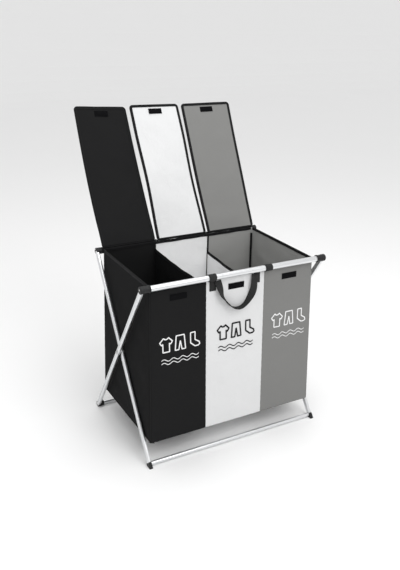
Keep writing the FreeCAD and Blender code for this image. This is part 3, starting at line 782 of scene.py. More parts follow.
def ripples(u: Array, v: Array, seed: int, longest: float = 0.16, shortest: float = 0.045) -> Array:
    """Soft undulations of cloth, about -1 to 1.

    Args:
        u: Distance across the cloth in metres.
        v: Distance along it in metres.
        seed: Which pattern.
        longest: The longest wave in metres.
        shortest: The shortest wave in metres.

    Returns:
        The height at each point.
    """
    source = np.random.default_rng(100 + seed)
    total = np.zeros(np.shape(u))
    weight = 0.0
    for length in np.geomspace(longest, shortest, 8):
        angle, phase, bend = source.uniform(0, math.pi), source.uniform(0, 2 * math.pi), source.uniform(4, 9)
        across = u * math.cos(angle) + v * math.sin(angle)
        along = v * math.cos(angle) - u * math.sin(angle)
        share = length / longest
        total += share * np.sin(2 * math.pi * across / length + phase + 0.9 * np.sin(bend * along + phase))
        weight += share
    return total / weight * 2.2


def ease(x: Array, low: float, high: float) -> Array:
    """A smooth step from 0 at low to 1 at high."""
    t = np.clip((x - low) / (high - low), 0, 1)
    return t * t * (3 - 2 * t)


def place_piece(
    item: bpy.types.Object, body: str, nodes: Sequence[str] = ()
) -> None:
    """Let a piece ride on a body and stand for CAD nodes.

    Args:
        item: The piece.
        body: The CAD body it moves with.
        nodes: The CAD nodes it stands for.
    """
    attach(item, body)
    declare(item, nodes)


def declare(item: bpy.types.Object, nodes: Sequence[str]) -> None:
    """Hide the CAD nodes a piece stands for, and report it.

    Args:
        item: The piece.
        nodes: The CAD nodes it stands for.
    """
    if nodes:
        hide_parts(*nodes)
    log.info("%s: %d faces", item.name, len(item.data.polygons))


# ---------------------------------------------------------------- the bag's shape

CORNER_RADIUS = 0.007
"""How wide the cloth's curve is where it turns a corner of the bag, in metres."""
INNER_FACE = 0.0024
"""From a long wall's outer face to the cloth and tape sewn inside it."""
STRAP_CLEARANCE = 0.0003 + 0.00075
"""From a rail's surface to the middle of the webbing round it."""
STRAP_WIDTH = 0.025
"""How wide the webbing round the rails is."""
END_BUNCH = 0.034
"""How strongly an end wall's grid lines crowd towards its edges."""

@dataclass(frozen=True)
class BagShape:
    """Where the bag's walls lie, read from the CAD model's boxes. Metres."""

    middle: float
    top_reach: float
    foot_reach: float
    half_top: float
    half_foot: float
    bottom: float
    rail_height: float
    rim: dict[Wall, float]
    seam: float = 0.102
    cloth: float = 0.0014

    @classmethod
    def measured(cls) -> "BagShape":
        """Read the shape from the CAD boxes.

        Returns:
            The shape.
        """
        low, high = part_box("pivot_rivets")
        middle = (low.y + high.y) / 2
        front_low, front_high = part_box("front_panel_white")
        _, rear_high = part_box("rear_panel_white")
        _, grey_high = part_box("front_panel_grey")
        _, binding_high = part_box("front_rim_binding")
        rail_low, rail_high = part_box("front_top_rail")
        return cls(
            middle=middle,
            top_reach=middle - front_high.y + 0.002,
            foot_reach=middle - front_low.y,
            half_top=binding_high.x,
            half_foot=grey_high.x,
            bottom=front_low.z,
            rail_height=(rail_low.z + rail_high.z) / 2,
            rim={Wall.FRONT: front_high.z, Wall.REAR: rear_high.z},
        )

    def reach(self, z: Array) -> Array:
        """How far each long wall's outer face is from the middle at a height."""
        share = (self.rim[Wall.FRONT] - z) / (self.rim[Wall.FRONT] - self.bottom)
        return self.top_reach + (self.foot_reach - self.top_reach) * share

    def half_width(self, z: Array) -> Array:
        """How far each end wall's outer face is from the middle at a height."""
        share = (self.rail_height - z) / (self.rail_height - self.bottom)
        return self.half_top + (self.half_foot - self.half_top) * share


@dataclass(frozen=True)
class LongPanel:
    """One compartment's panel of a long wall: a taut sheet that bellies a little between its seams."""

    shape: BagShape
    wall: Wall
    compartment: Compartment
    belly: float = 0.0026
    wrinkle: float = 0.0011
    seed: int = 3
    bunch: float = 0.108 / math.pi

    def edges(self, z: Array) -> tuple[Array, Array]:
        """The panel's left and right edge at a height."""
        seam = np.full_like(z, self.shape.seam)
        outer = self.shape.half_width(z)
        if self.compartment is Compartment.BLACK:
            return -outer, -seam
        if self.compartment is Compartment.WHITE:
            return -seam, seam
        return seam, outer

    def swell(self, x: Array, z: Array) -> Array:
        """How far the cloth stands out from the wall's flat plane, at a place on it."""
        left, right = self.edges(z)
        s = np.clip((x - left) / (right - left), 0, 1)
        t = np.clip((z - self.shape.bottom) / (self.shape.rim[self.wall] - self.shape.bottom), 0, 1)
        across = np.sin(math.pi * s) ** 0.8
        down = np.sin(math.pi * np.clip(t, 0, 1) ** 0.8) ** 0.7
        fade = ease(s, 0, 0.14) * ease(1 - s, 0, 0.14) * ease(t, 0, 0.1) * ease(1 - t, 0.02, 0.2)
        calm = 0.6 + 0.4 * (self.compartment is Compartment.WHITE)
        pulls = ripples(x, z, self.seed + self.compartment.value + 7 * self.wall.value) * fade
        puckers = 0.00035 * np.sin(z * 2 * math.pi / 0.021 + 2 * np.sin(z * 40)) * (
            np.exp(-s / 0.05) + np.exp(-(1 - s) / 0.05))
        return self.belly * across * down + calm * self.wrinkle * pulls + puckers * ease(1 - t, 0, 0.06)

    def depth_at(self, x: Array, z: Array) -> Array:
        """The outer face's Y at a place on the wall."""
        facing = self.wall.value
        return self.shape.middle + facing * (self.shape.reach(z) + self.swell(x, z))

    def surface(self, s: Array, t: Array) -> Array:
        """The sheet's middle plane, with its outer vertical edge and its foot turned in."""
        low, high = self.shape.bottom, self.shape.rim[self.wall]
        z = low + (high - low) * t
        left, right = self.edges(z)
        x = left + (right - left) * s
        depth = self.shape.reach(z) + self.swell(x, z) - self.shape.cloth / 2
        beside = {Compartment.BLACK: x - left, Compartment.GREY: right - x}.get(self.compartment)
        if beside is not None:
            depth = depth - rolled_in(beside, CORNER_RADIUS)
        seam = np.minimum(np.abs(x + self.shape.seam), np.abs(x - self.shape.seam))
        depth = depth - 0.0011 * np.exp(-((seam / 0.0022) ** 2))
        depth = depth - rolled_in(z - low, CORNER_RADIUS)
        return np.stack([x, self.shape.middle + self.wall.value * depth, z], axis=1)

    def build(self) -> None:
        shape, word, where = self.shape, self.compartment.word, self.wall.word
        tall = shape.rim[self.wall] - shape.bottom
        wide = 2 * shape.seam if self.compartment is Compartment.WHITE else shape.half_top - shape.seam
        item = cloth_sheet(
            f"{where}_cloth_{word}", 44, 110,
            lambda s, t: self.surface(bunched(s, self.bunch), bunched(t, self.bunch)),
            (wide, tall), self.faces(), shape.cloth,
        )
        place_piece(item, self.wall.body, [f"{where}_panel_{word}"])

    def faces(self) -> list[Finish]:
        """The finish that faces -Y and then the one that faces +Y, the inner face taking the cloth's lighter
        copy, painted light inside the bag.
        """
        pair = [CLOTHS[self.compartment], INSIDE_CLOTHS_PAINTED_LIGHTER[self.compartment]]
        return pair if self.wall is Wall.FRONT else pair[::-1]


def tape_over(
    name: str, path: Array, across: Array, up: Array, thick: float = 0.0036, width: float = 0.009,
    over: float = 0.0008, finish: Finish = BINDING,
) -> bpy.types.Object:
    """Binding folded over an edge that runs along a path.

    Args:
        name: The piece's name.
        path: (n, 3) places along the cloth's edge.
        across: The cloth's normal, one or one each.
        up: The way out of the cloth at its edge, one or one each.
        thick: Outside thickness.
        width: How far it reaches down each face.
        over: How far it stands above the edge.
        finish: Its finish.

    Returns:
        The piece.
    """
    return swept(name, u_profile(thick, width, 0.0009, over), path, across, up, finish)


@dataclass
class Bag:
    """Everything sewn together between the rails, apart from the lids and the handle."""

    shape: BagShape
    divider_front: dict[End, float] = field(default_factory=lambda: {End.LEFT: 0.547, End.RIGHT: 0.505})
    divider_rear: dict[End, float] = field(default_factory=lambda: {End.LEFT: 0.556, End.RIGHT: 0.517})
    sag: float = 0.006

    def build(self) -> None:
        """Make every wall, floor, tape and strap."""
        for wall in Wall:
            for compartment in Compartment:
                LongPanel(self.shape, wall, compartment).build()
            self.rim_tape(wall)
            self.seam_tapes(wall)
            self.strap_loops(wall)
        for end in End:
            self.end_wall(end)
            self.divider(end)
        for compartment in Compartment:
            self.floor(compartment)
        self.closure_pads()

    def rim_tape(self, wall: Wall) -> None:
        """Binding along a long wall's rim, which dips slightly between its straps."""
        shape = self.shape
        x = np.linspace(-shape.half_top, shape.half_top, 120)
        rim = shape.rim[wall]
        wave = 0.0006 * np.sin(x * 2 * math.pi / 0.19) + 0.0004 * np.sin(x * 2 * math.pi / 0.071 + 1)
        depth = shape.reach(np.full_like(x, rim)) - 0.001 + wave
        z = rim - 0.0004 + 0.4 * wave
        path = np.stack([x, shape.middle + wall.value * depth, z], axis=1)
        item = tape_over(f"{wall.word}_rim_tape", path, (0, 1, 0), (0, 0, 1))
        place_piece(item, wall.body, [f"{wall.word}_rim_binding"])

    def seam_tapes(self, wall: Wall) -> None:
        """Flat tape sewn inside over each vertical seam of a long wall."""
        shape = self.shape
        z = np.linspace(shape.bottom + 0.006, shape.rim[wall] - 0.010, 60)
        for end in End:
            x = np.full_like(z, end.value * shape.seam)
            depth = shape.reach(z) - INNER_FACE
            path = np.stack([x, shape.middle + wall.value * depth, z], axis=1)
            item = swept(f"{wall.word}_seam_tape_{end.word}", strap_profile(0.007, 0.0008), path,
                         (1, 0, 0), (0, 1, 0), BINDING)
            place_piece(item, wall.body)

    def strap_loops(self, wall: Wall) -> None:
        """Webbing round the rail, sewn to the rim behind it."""
        low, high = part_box(f"{wall.word}_straps")
        rail_low, rail_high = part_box(f"{wall.word}_top_rail")
        rail_y, rail_z = (rail_low.y + rail_high.y) / 2, (rail_low.z + rail_high.z) / 2
        radius = (rail_high.z - rail_low.z) / 2 + STRAP_CLEARANCE
        turn = np.radians(np.linspace(-8, 328, 60))
        y = -wall.value * radius * np.cos(turn)
        z = radius * np.sin(turn)
        outer_y = -wall.value * (radius + 0.0007)
        y = np.r_[outer_y, outer_y, y, y[-1] - wall.value * 0.0006, outer_y + wall.value * 0.0017]
        z = np.r_[-0.0085, -0.005, z, z[-1] - 0.0022, -0.0085]
        half = STRAP_WIDTH / 2
        for end, place in ((End.LEFT, low.x + half), (End.RIGHT, high.x - half)):
            path = np.stack([np.full_like(y, place), rail_y + y, rail_z + z], axis=1)
            up = np.cross(unit(np.gradient(path, axis=0)), (1.0, 0.0, 0.0))
            item = swept(f"{wall.word}_strap_{end.word}", strap_profile(2 * half, 0.0018), path,
                         (1, 0, 0), up, WEBBING)
            place_piece(item, wall.body, [f"{wall.word}_straps"])

    def inside_reach(self, z: Array, wall: Wall) -> Array:
        """Where a cross wall's edge meets a long wall, as Y."""
        return self.shape.middle + wall.value * (self.shape.reach(z) - INNER_FACE)

    def end_wall(self, end: End) -> None:
        """A short end of the bag, its top tape and its inner corner tapes."""
        shape = self.shape
        compartment = Compartment.BLACK if end is End.LEFT else Compartment.GREY
        foot = shape.bottom

        def surface(s: Array, t: Array) -> Array:
            """The end wall, turned in at its upright edges and its foot."""
            rim = shape.rim[Wall.FRONT] + (shape.rim[Wall.REAR] - shape.rim[Wall.FRONT]) * s
            z = foot + (rim - foot) * t
            front, rear = (shape.middle + w.value * (shape.reach(z) - 0.0012) for w in Wall)
            y = front + (rear - front) * s
            fade = ease(s, 0, 0.12) * ease(1 - s, 0, 0.12) * ease(t, 0, 0.1) * ease(1 - t, 0.0, 0.16)
            out = 0.0032 * np.sin(math.pi * s) * np.sin(math.pi * t**0.7) ** 0.8
            out = out + 0.0013 * ripples(y, z, 21 + end.value) * fade
            width = rear - front
            for near in (s * width, (1 - s) * width, z - foot):
                out = out - rolled_in(near, CORNER_RADIUS)
            x = end.value * (shape.half_width(z) - shape.cloth / 2 + out)
            return np.stack([x, y, z], axis=1)

        wide, tall = 2 * shape.top_reach, shape.rim[Wall.REAR] - foot

        item = cloth_sheet(f"end_cloth_{end.word}", 72, 100,
                           lambda s, t: surface(bunched(s, END_BUNCH), bunched(t, END_BUNCH)),
                           (wide, tall), self.faces(end, compartment), shape.cloth)
        self.crumple(item, [f"side_panel_{end.word}"])

        s = np.linspace(0.012, 0.988, 60)
        edge = surface(s, np.ones_like(s))
        tape = tape_over(f"end_tape_{end.word}", edge, (1, 0, 0), (0, 0, 1))
        self.crumple(tape, [f"side_binding_{end.word}"])

        z = np.linspace(foot + 0.006, shape.rim[Wall.FRONT] - 0.012, 60)
        for wall in Wall:
            lean = np.array([-end.value, wall.value, 0.0]) / math.sqrt(2)
            inward = np.array([-end.value, -wall.value, 0.0]) / math.sqrt(2)
            for kind, inset, width, thick in (("tape", 0.0066, 0.007, 0.001),
                                              ("piping", 0.0030, 0.0026, 0.0030)):
                x = end.value * (shape.half_width(z) - inset)
                y = shape.middle + wall.value * (shape.reach(z) - inset)
                strip = swept(f"{wall.word}_corner_{kind}_{end.word}", strap_profile(width, thick),
                              np.stack([x, y, z], axis=1), lean, inward, BINDING)
                place_piece(strip, wall.body)

    def faces(self, end: End, compartment: Compartment) -> list[Finish]:
        """The finish that faces +X on an end wall and then the one that faces -X, the inner face taking the
        cloth's lighter copy, painted light inside the bag.
        """
        pair = [CLOTHS[compartment], INSIDE_CLOTHS_PAINTED_LIGHTER[compartment]]
        return pair if end is End.RIGHT else pair[::-1]

    def divider_top(self, end: End, y: Array) -> Array:
        """The height of a divider's slack top edge at a depth."""
        reach = self.shape.top_reach
        t = np.clip((y - self.shape.middle + reach) / (2 * reach), 0, 1)
        chord = self.divider_front[end] + (self.divider_rear[end] - self.divider_front[end]) * t
        return chord - self.sag * 4 * t * (1 - t)

    def divider(self, end: End) -> None:
        """A wall between two compartments, each face in its own compartment's colour."""
        shape = self.shape
        faces = {End.LEFT: (Compartment.BLACK, Compartment.WHITE),
                 End.RIGHT: (Compartment.WHITE, Compartment.GREY)}[end]
        foot = shape.bottom + 0.003

        def surface(s: Array, t: Array) -> Array:
            """The divider, with a slack top edge and a slight bulge."""
            base = np.interp(s, [0, 1], [shape.middle - shape.top_reach, shape.middle + shape.top_reach])
            z = foot + (self.divider_top(end, base) - foot) * t
            y = self.inside_reach(z, Wall.FRONT) * (1 - s) + self.inside_reach(z, Wall.REAR) * s
            fade = np.sin(math.pi * s) * ease(t, 0, 0.25)
            x = end.value * shape.seam + fade * (0.0030 * np.sin(1.3 * math.pi * t + end.value)
                                                + 0.0016 * ripples(y, z, 41 + end.value))
            return np.stack([x, y, z], axis=1)

        wide, tall = 2 * shape.top_reach, self.divider_rear[end] - foot
        # Both faces of the divider take the lighter inside copies: painted light.
        item = cloth_sheet(f"divider_cloth_{end.word}", 60, 76, surface, (wide, tall),
                           [INSIDE_CLOTHS_PAINTED_LIGHTER[faces[1]], INSIDE_CLOTHS_PAINTED_LIGHTER[faces[0]]], shape.cloth)
        self.crumple(item, [f"divider_{end.word}"])
        s = np.linspace(0.004, 0.996, 60)
        tape = tape_over(f"divider_tape_{end.word}", surface(s, np.ones_like(s)), (1, 0, 0), (0, 0, 1))
        self.crumple(tape, [f"divider_binding_{end.word}"])

    def floor(self, compartment: Compartment) -> None:
        """The floor of one compartment, which dips under its own weight."""
        shape = self.shape
        seam, gap = shape.seam, 0.0012
        outer = shape.half_foot - 0.0035
        left, right = {Compartment.BLACK: (-outer, -seam - gap),
                       Compartment.WHITE: (-seam + gap, seam - gap),
                       Compartment.GREY: (seam + gap, outer)}[compartment]
        depth = shape.foot_reach - 0.0035

        def surface(s: Array, t: Array) -> Array:
            """A nearly flat floor."""
            x = left + (right - left) * s
            y = shape.middle + depth * (2 * t - 1)
            fade = np.sin(math.pi * s) * np.sin(math.pi * t)
            z = shape.bottom + 0.0024 - 0.0012 * fade + 0.0007 * fade * ripples(x, y, 61 + compartment.value)
            return np.stack([x, y, z], axis=1)

        flat = (right - left, 2 * depth)
        # The floor's upper face takes the lighter inside copy: painted light.
        item = cloth_sheet(f"floor_cloth_{compartment.word}", 30, 56, surface, flat,
                           [INSIDE_CLOTHS_PAINTED_LIGHTER[compartment], CLOTHS[compartment]], shape.cloth)
        self.crumple(item, [f"floor_panel_{compartment.word}"])

    def crumple(self, item: bpy.types.Object, nodes: Sequence[str]) -> None:
        """Let a piece ride on the rear wall, with a mesh of its own.

        Args:
            item: The piece.
            nodes: The CAD nodes it stands for.
        """
        place_piece(item, Wall.REAR.body, nodes)
        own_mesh(item)

    def closure_pads(self) -> None:
        """Sewn pile patches that the lids' tabs press on to."""
        low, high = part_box("closure_patches")
        centre = (low.z + high.z) / 2
        for compartment in Compartment:
            panel = LongPanel(self.shape, Wall.FRONT, compartment)
            x = compartment.value * (high.x - 0.0275)
            item = sewn_patch(f"closure_pad_{compartment.word}", (0.055, 0.019, 0.0016), PILE)
            settle(item, (x, panel.depth_at(np.array(x), np.array(centre)).item() - 0.0006, centre))
            place_piece(item, Wall.FRONT.body, ["closure_patches"])


def sewn_patch(name: str, size: tuple[float, float, float], finish: Finish) -> bpy.types.Object:
    """A flat patch with a sewn border, its face towards -Y.

    Args:
        name: The piece's name.
        size: Width, height and thickness.
        finish: Its finish.

    Returns:
        The piece, centred on the origin.
    """
    width, height, thick = size
    bpy.ops.object.select_all(action="DESELECT")
    bpy.ops.mesh.primitive_cube_add(size=1.0)
    item = bpy.context.object
    item.name = item.data.name = name
    move_points(item, points_of(item) * np.array([width, thick, height]))
    only(item)
    bpy.ops.object.mode_set(mode="EDIT")
    bpy.ops.mesh.select_all(action="DESELECT")
    bpy.ops.object.mode_set(mode="OBJECT")
    for face in item.data.polygons:
        face.select = face.normal.y < -0.9
    bpy.ops.object.mode_set(mode="EDIT")
    bpy.ops.mesh.select_mode(type="FACE")
    bpy.ops.mesh.inset(thickness=0.0016, depth=0.0)
    bpy.ops.mesh.inset(thickness=0.0005, depth=-0.0004)
    bpy.ops.mesh.inset(thickness=0.0006, depth=0.0005)
    bpy.ops.object.mode_set(mode="OBJECT")
    apply_modifier(item, "BEVEL", width=0.0003, segments=2, limit_method="ANGLE",
                   angle_limit=math.radians(50))
    item.data.materials.append(finish.material())
    smooth(item, 50)
    return item


def settle(item: bpy.types.Object, place: Sequence[float], turn: Matrix | None = None) -> None:
    """Move and turn a finished mesh itself, so its object stays at the origin.

    Args:
        item: The piece.
        place: Where its own origin goes.
        turn: A rotation to apply first.
    """
    matrix = Matrix.Translation(Vector(place))
    if turn is not None:
        matrix = matrix @ turn.to_4x4()
    item.data.transform(matrix)


# ---------------------------------------------------------------- lids


@dataclass
class Lid:
    """One compartment's lid: stiffened cloth bound on three sides, folding near its free end."""

    shape: BagShape
    compartment: Compartment
    lean: float
    bow: float
    warp: float
    tip_back: float = 0.0
    tip_twist: float = 0.0
    fan: float = 0.0
    flare: float = 0.0
    half: float = 0.0945
    fold: float = 0.383
    length: float = 0.47
    corner: float = 0.013

    def __post_init__(self) -> None:
        """Find the hinge line, the lid's own directions and its centre."""
        joint = next(j for j in frame["joints"] if j["name"] == f"lid_{self.compartment.word}_hinge")
        low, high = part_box(f"lid_{self.compartment.word}")
        self.centre = (low.x + high.x) / 2
        self.hinge = np.array([self.centre, joint["pos_m"][1], joint["pos_m"][2]])
        angle = math.radians(self.lean)
        self.along = np.array([0.0, math.sin(angle), math.cos(angle)])
        self.inner = np.array([0.0, -math.cos(angle), math.sin(angle)])

    def rise(self, u: Array, v: Array) -> Array:
        """How far the cloth stands off the lid's flat plane, towards its inner face."""
        t = np.clip(v / self.length, 0, 1)
        lane = u / self.half
        arch = np.sin(math.pi * t) * ease(v, 0.01, 0.09)
        before_fold = np.sin(math.pi * np.clip(v / self.fold, 0, 1)) ** 2
        quilt = 0.0009 * ripples(u + self.centre, v, 81 + self.compartment.value, 0.2, 0.05)
        fade = ease(1 - np.abs(lane), 0.1, 0.4) * ease(t, 0.02, 0.1)
        return (self.bow * arch + self.warp * lane * before_fold
                - (self.tip_back + self.tip_twist * lane) * t**2 + quilt * fade)

    def at(self, u: Array, v: Array, lift: float = 0.0) -> Array:
        """Places on the lid.

        Args:
            u: Distance across from its centre line.
            v: Distance along from its hinge.
            lift: Extra height towards its inner face.

        Returns:
            (n, 3) places.
        """
        height = self.rise(u, v) + lift
        t = v / self.length
        aside = u * (1 + self.flare * t) + self.fan * t
        return (self.hinge + np.outer(aside, (1.0, 0.0, 0.0)) + np.outer(v, self.along)
                + np.outer(height, self.inner))

    def half_at(self, v: Array) -> Array:
        """Half the lid's width at a distance along it, with its free corners rounded."""
        past = np.clip(v - (self.length - self.corner), 0, self.corner)
        return self.half - self.corner + np.sqrt(np.clip(self.corner**2 - past**2, 0, None))

    def build(self) -> None:
        """Make the lid's cloth, tape, hinge strip and tab."""
        word = self.compartment.word
        start = 0.004
        edge = 0.0008

        def surface(s: Array, t: Array) -> Array:
            """The lid's sheet, with grid lines bunched at its rounded end."""
            v = start + (self.length - edge - start) * (1 - (1 - t) ** 1.35)
            return self.at((2 * s - 1) * (self.half_at(v) - edge), v)

        flat = (2 * self.half, self.length - start)
        cloth = cloth_sheet(f"lid_cloth_{word}", 36, 110, surface, flat, [CLOTHS[self.compartment]], 0.002)
        self.bend(cloth, self.compartment.slot, [f"lid_{word}", f"flap_{word}"])
        self.bend(self.edge_tape(start), "binding", [f"lid_binding_{word}", f"flap_binding_{word}"])
        self.hinge_strip()
        self.tab()

    def bend(self, item: bpy.types.Object, slot: str, nodes: Sequence[str]) -> None:
        """Bake a piece of the lid into place, and hide the CAD nodes it stands for.

        Args:
            item: The piece.
            slot: The record's material slot; not used.
            nodes: The CAD nodes it stands for.
        """
        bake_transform(item)
        declare(item, nodes)

    def edge_tape(self, start: float) -> bpy.types.Object:
        """Binding up one side, round the free end and down the other."""
        side = np.r_[np.linspace(start, self.length - self.corner, 80)]
        turn = np.radians(np.linspace(0, 90, 14))[1:]
        u = np.r_[np.full_like(side, self.half), self.half - self.corner + self.corner * np.cos(turn)]
        v = np.r_[side, self.length - self.corner + self.corner * np.sin(turn)]
        out = np.r_[np.tile([1.0, 0.0], (len(side), 1)), np.stack([np.cos(turn), np.sin(turn)], axis=1)]
        cross = np.linspace(1, -1, 24)[1:-1] * (self.half - self.corner)
        u = np.r_[u, cross, -u[::-1]]
        out = np.r_[out, np.tile([0.0, 1.0], (len(cross), 1)), out[::-1] * (-1, 1)]
        v = np.r_[v, np.full_like(cross, self.length), v[::-1]]
        inset, depth = 0.0010, 0.0090
        path = self.at(u - out[:, 0] * inset, v - out[:, 1] * inset)
        up = unit(path - self.at(u - out[:, 0] * depth, v - out[:, 1] * depth))
        across = unit(np.cross(np.gradient(path, axis=0), up))
        return tape_over(f"lid_tape_{self.compartment.word}", path, across, up, thick=0.0042)

    def hinge_strip(self) -> None:
        """A strip of cloth sewn to the rear rim and to the lid, which is the lid's hinge."""
        word = self.compartment.word
        half = self.half - 0.002
        rim_z = self.shape.rim[Wall.REAR]
        stations = np.array([
            [0.0026, rim_z - 0.012], [0.0027, rim_z - 0.004], [0.0018, rim_z + 0.0018],
            [0.0004, rim_z + 0.0038],
        ])
        y = self.hinge[1] + stations[:, 0]
        low = np.stack([np.zeros(4), y, stations[:, 1]], axis=1)
        high = np.array([self.hinge + self.along * d - self.inner * 0.0016 for d in (0.004, 0.010, 0.018)])
        high[:, 0] = 0
        line = np.vstack([low, high])

        def surface(s: Array, t: Array) -> Array:
            """The strip, from the rim up to the lid."""
            k = t * (len(line) - 1)
            base = np.stack([np.interp(k, range(len(line)), line[:, i]) for i in range(3)], axis=1)
            base[:, 0] = self.centre + (2 * s - 1) * half
            return base

        flat = (2 * half, 0.036)
        item = cloth_sheet(f"lid_hinge_strip_{word}", 30, 18, surface, flat, [BINDING], 0.0009)
        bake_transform(item)
        declare(item, [])

    def tab(self) -> None:
        """The pile tab on the inner face of the lid's free end."""
        word = self.compartment.word
        item = sewn_patch(f"lid_pad_{word}", (0.05, 0.019, 0.0016), PILE)
        along = self.fold + 0.062
        spots = self.at(np.array([0.0, 0.02, 0.0]), np.array([along, along, along + 0.02]), 0.0016)
        across, up = (Vector(spots[i] - spots[0]).normalized() for i in (1, 2))
        back = up.cross(across).normalized()
        settle(item, spots[0], Matrix((across, back, across.cross(back))).transposed())
        place_piece(item, f"flap_{word}", [f"lid_tab_{word}"])


# ---------------------------------------------------------------- handle


@dataclass
class Handle:
    """A webbing loop sewn to the front wall by two flat tails."""

    shape: BagShape
    width: float = 0.0215
    thick: float = 0.0022

    def build(self) -> None:
        """Make the tails and the loop between them."""
        low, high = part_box("carry_handle")
        tails_low, tails_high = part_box("handle_tails")
        panel = LongPanel(self.shape, Wall.FRONT, Compartment.WHITE)
        tall = tails_high.z - tails_low.z
        for end, x in ((End.LEFT, tails_low.x + 0.011), (End.RIGHT, tails_high.x - 0.011)):
            item = sewn_patch(f"handle_tail_{end.word}", (0.022, tall, 0.0018), WEBBING)
            z = (tails_low.z + tails_high.z) / 2
            tilt = math.atan2(self.shape.foot_reach - self.shape.top_reach,
                              self.shape.rail_height - self.shape.bottom)
            settle(item, (x, panel.depth_at(np.array(x), np.array(z)).item() - 0.0007, z),
                   Matrix.Rotation(-tilt, 3, "X"))
            place_piece(item, Wall.FRONT.body, ["handle_tails"])
        self.loop(low, high)

    def loop(self, low: Vector, high: Vector) -> None:
        """The hanging loop, flat on the wall at its ends and on edge at its foot.

        Args:
            low: Lowest corner of its CAD box.
            high: Highest corner of its CAD box.
        """
        hang = (low.y + high.y) / 2
        wall = self.shape.middle - float(self.shape.reach(np.array(0.55))) - 0.0040
        half = (high.x - low.x) / 2 - self.thick / 2
        foot = low.z + self.width / 6
        points = np.array([
            (-half - 0.004, wall, 0.556), (-half - 0.001, wall - 0.003, 0.545),
            (-half + 0.002, hang + 0.003, 0.530), (-half + 0.005, hang, 0.518),
            (-half + 0.011, hang, 0.506), (-half + 0.018, hang, 0.496),
            (-0.034, hang, foot + 0.021), (-0.021, hang, foot + 0.008), (-0.006, hang, foot + 0.001),
            (0.008, hang, foot), (0.021, hang, foot + 0.005), (0.034, hang, foot + 0.017),
            (half - 0.015, hang, 0.497), (half - 0.008, hang, 0.514), (half - 0.004, hang + 0.003, 0.530),
            (half - 0.001, wall - 0.003, 0.545), (half + 0.002, wall, 0.556),
        ])
        path = smooth_path(points, 120)
        share = np.linspace(0, 1, len(path))
        flat = 1 - ease(share, 0.03, 0.35) + ease(share, 0.58, 0.95)
        step = unit(np.gradient(path, axis=0))
        edge_on = np.tile([0.0, 1.0, 0.0], (len(path), 1))
        lying = np.cross(step, edge_on)
        angle = flat * math.pi / 2
        across = edge_on * np.cos(angle)[:, None] + lying * np.sin(angle)[:, None]
        across -= step * np.sum(across * step, axis=1)[:, None]
        across = unit(across)
        up = np.cross(step, across)
        item = swept("handle_loop", strap_profile(self.width, self.thick), path, across, up, WEBBING)
        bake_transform(item)
        declare(item, ["carry_handle"])


def smooth_path(points: Array, count: int) -> Array:
    """An even, rounded path through points, by a Catmull-Rom curve.

    Args:
        points: (n, 3) places to pass through.
        count: How many places to return.

    Returns:
        (count, 3) places, evenly spaced.
    """
    padded = np.vstack([2 * points[0] - points[1], points, 2 * points[-1] - points[-2]])
    dense = []
    for i in range(1, len(padded) - 2):
        p0, p1, p2, p3 = padded[i - 1:i + 3]
        for t in np.linspace(0, 1, 24, endpoint=False):
            dense.append(0.5 * (2 * p1 + (p2 - p0) * t + (2 * p0 - 5 * p1 + 4 * p2 - p3) * t**2
                                + (3 * p1 - p0 - 3 * p2 + p3) * t**3))
    dense.append(padded[-2])
    line = np.array(dense)
    run = run_along(line)
    even = np.linspace(0, run[-1], count)
    return np.stack([np.interp(even, run, line[:, i]) for i in range(3)], axis=1)


# ---------------------------------------------------------------- printed signs


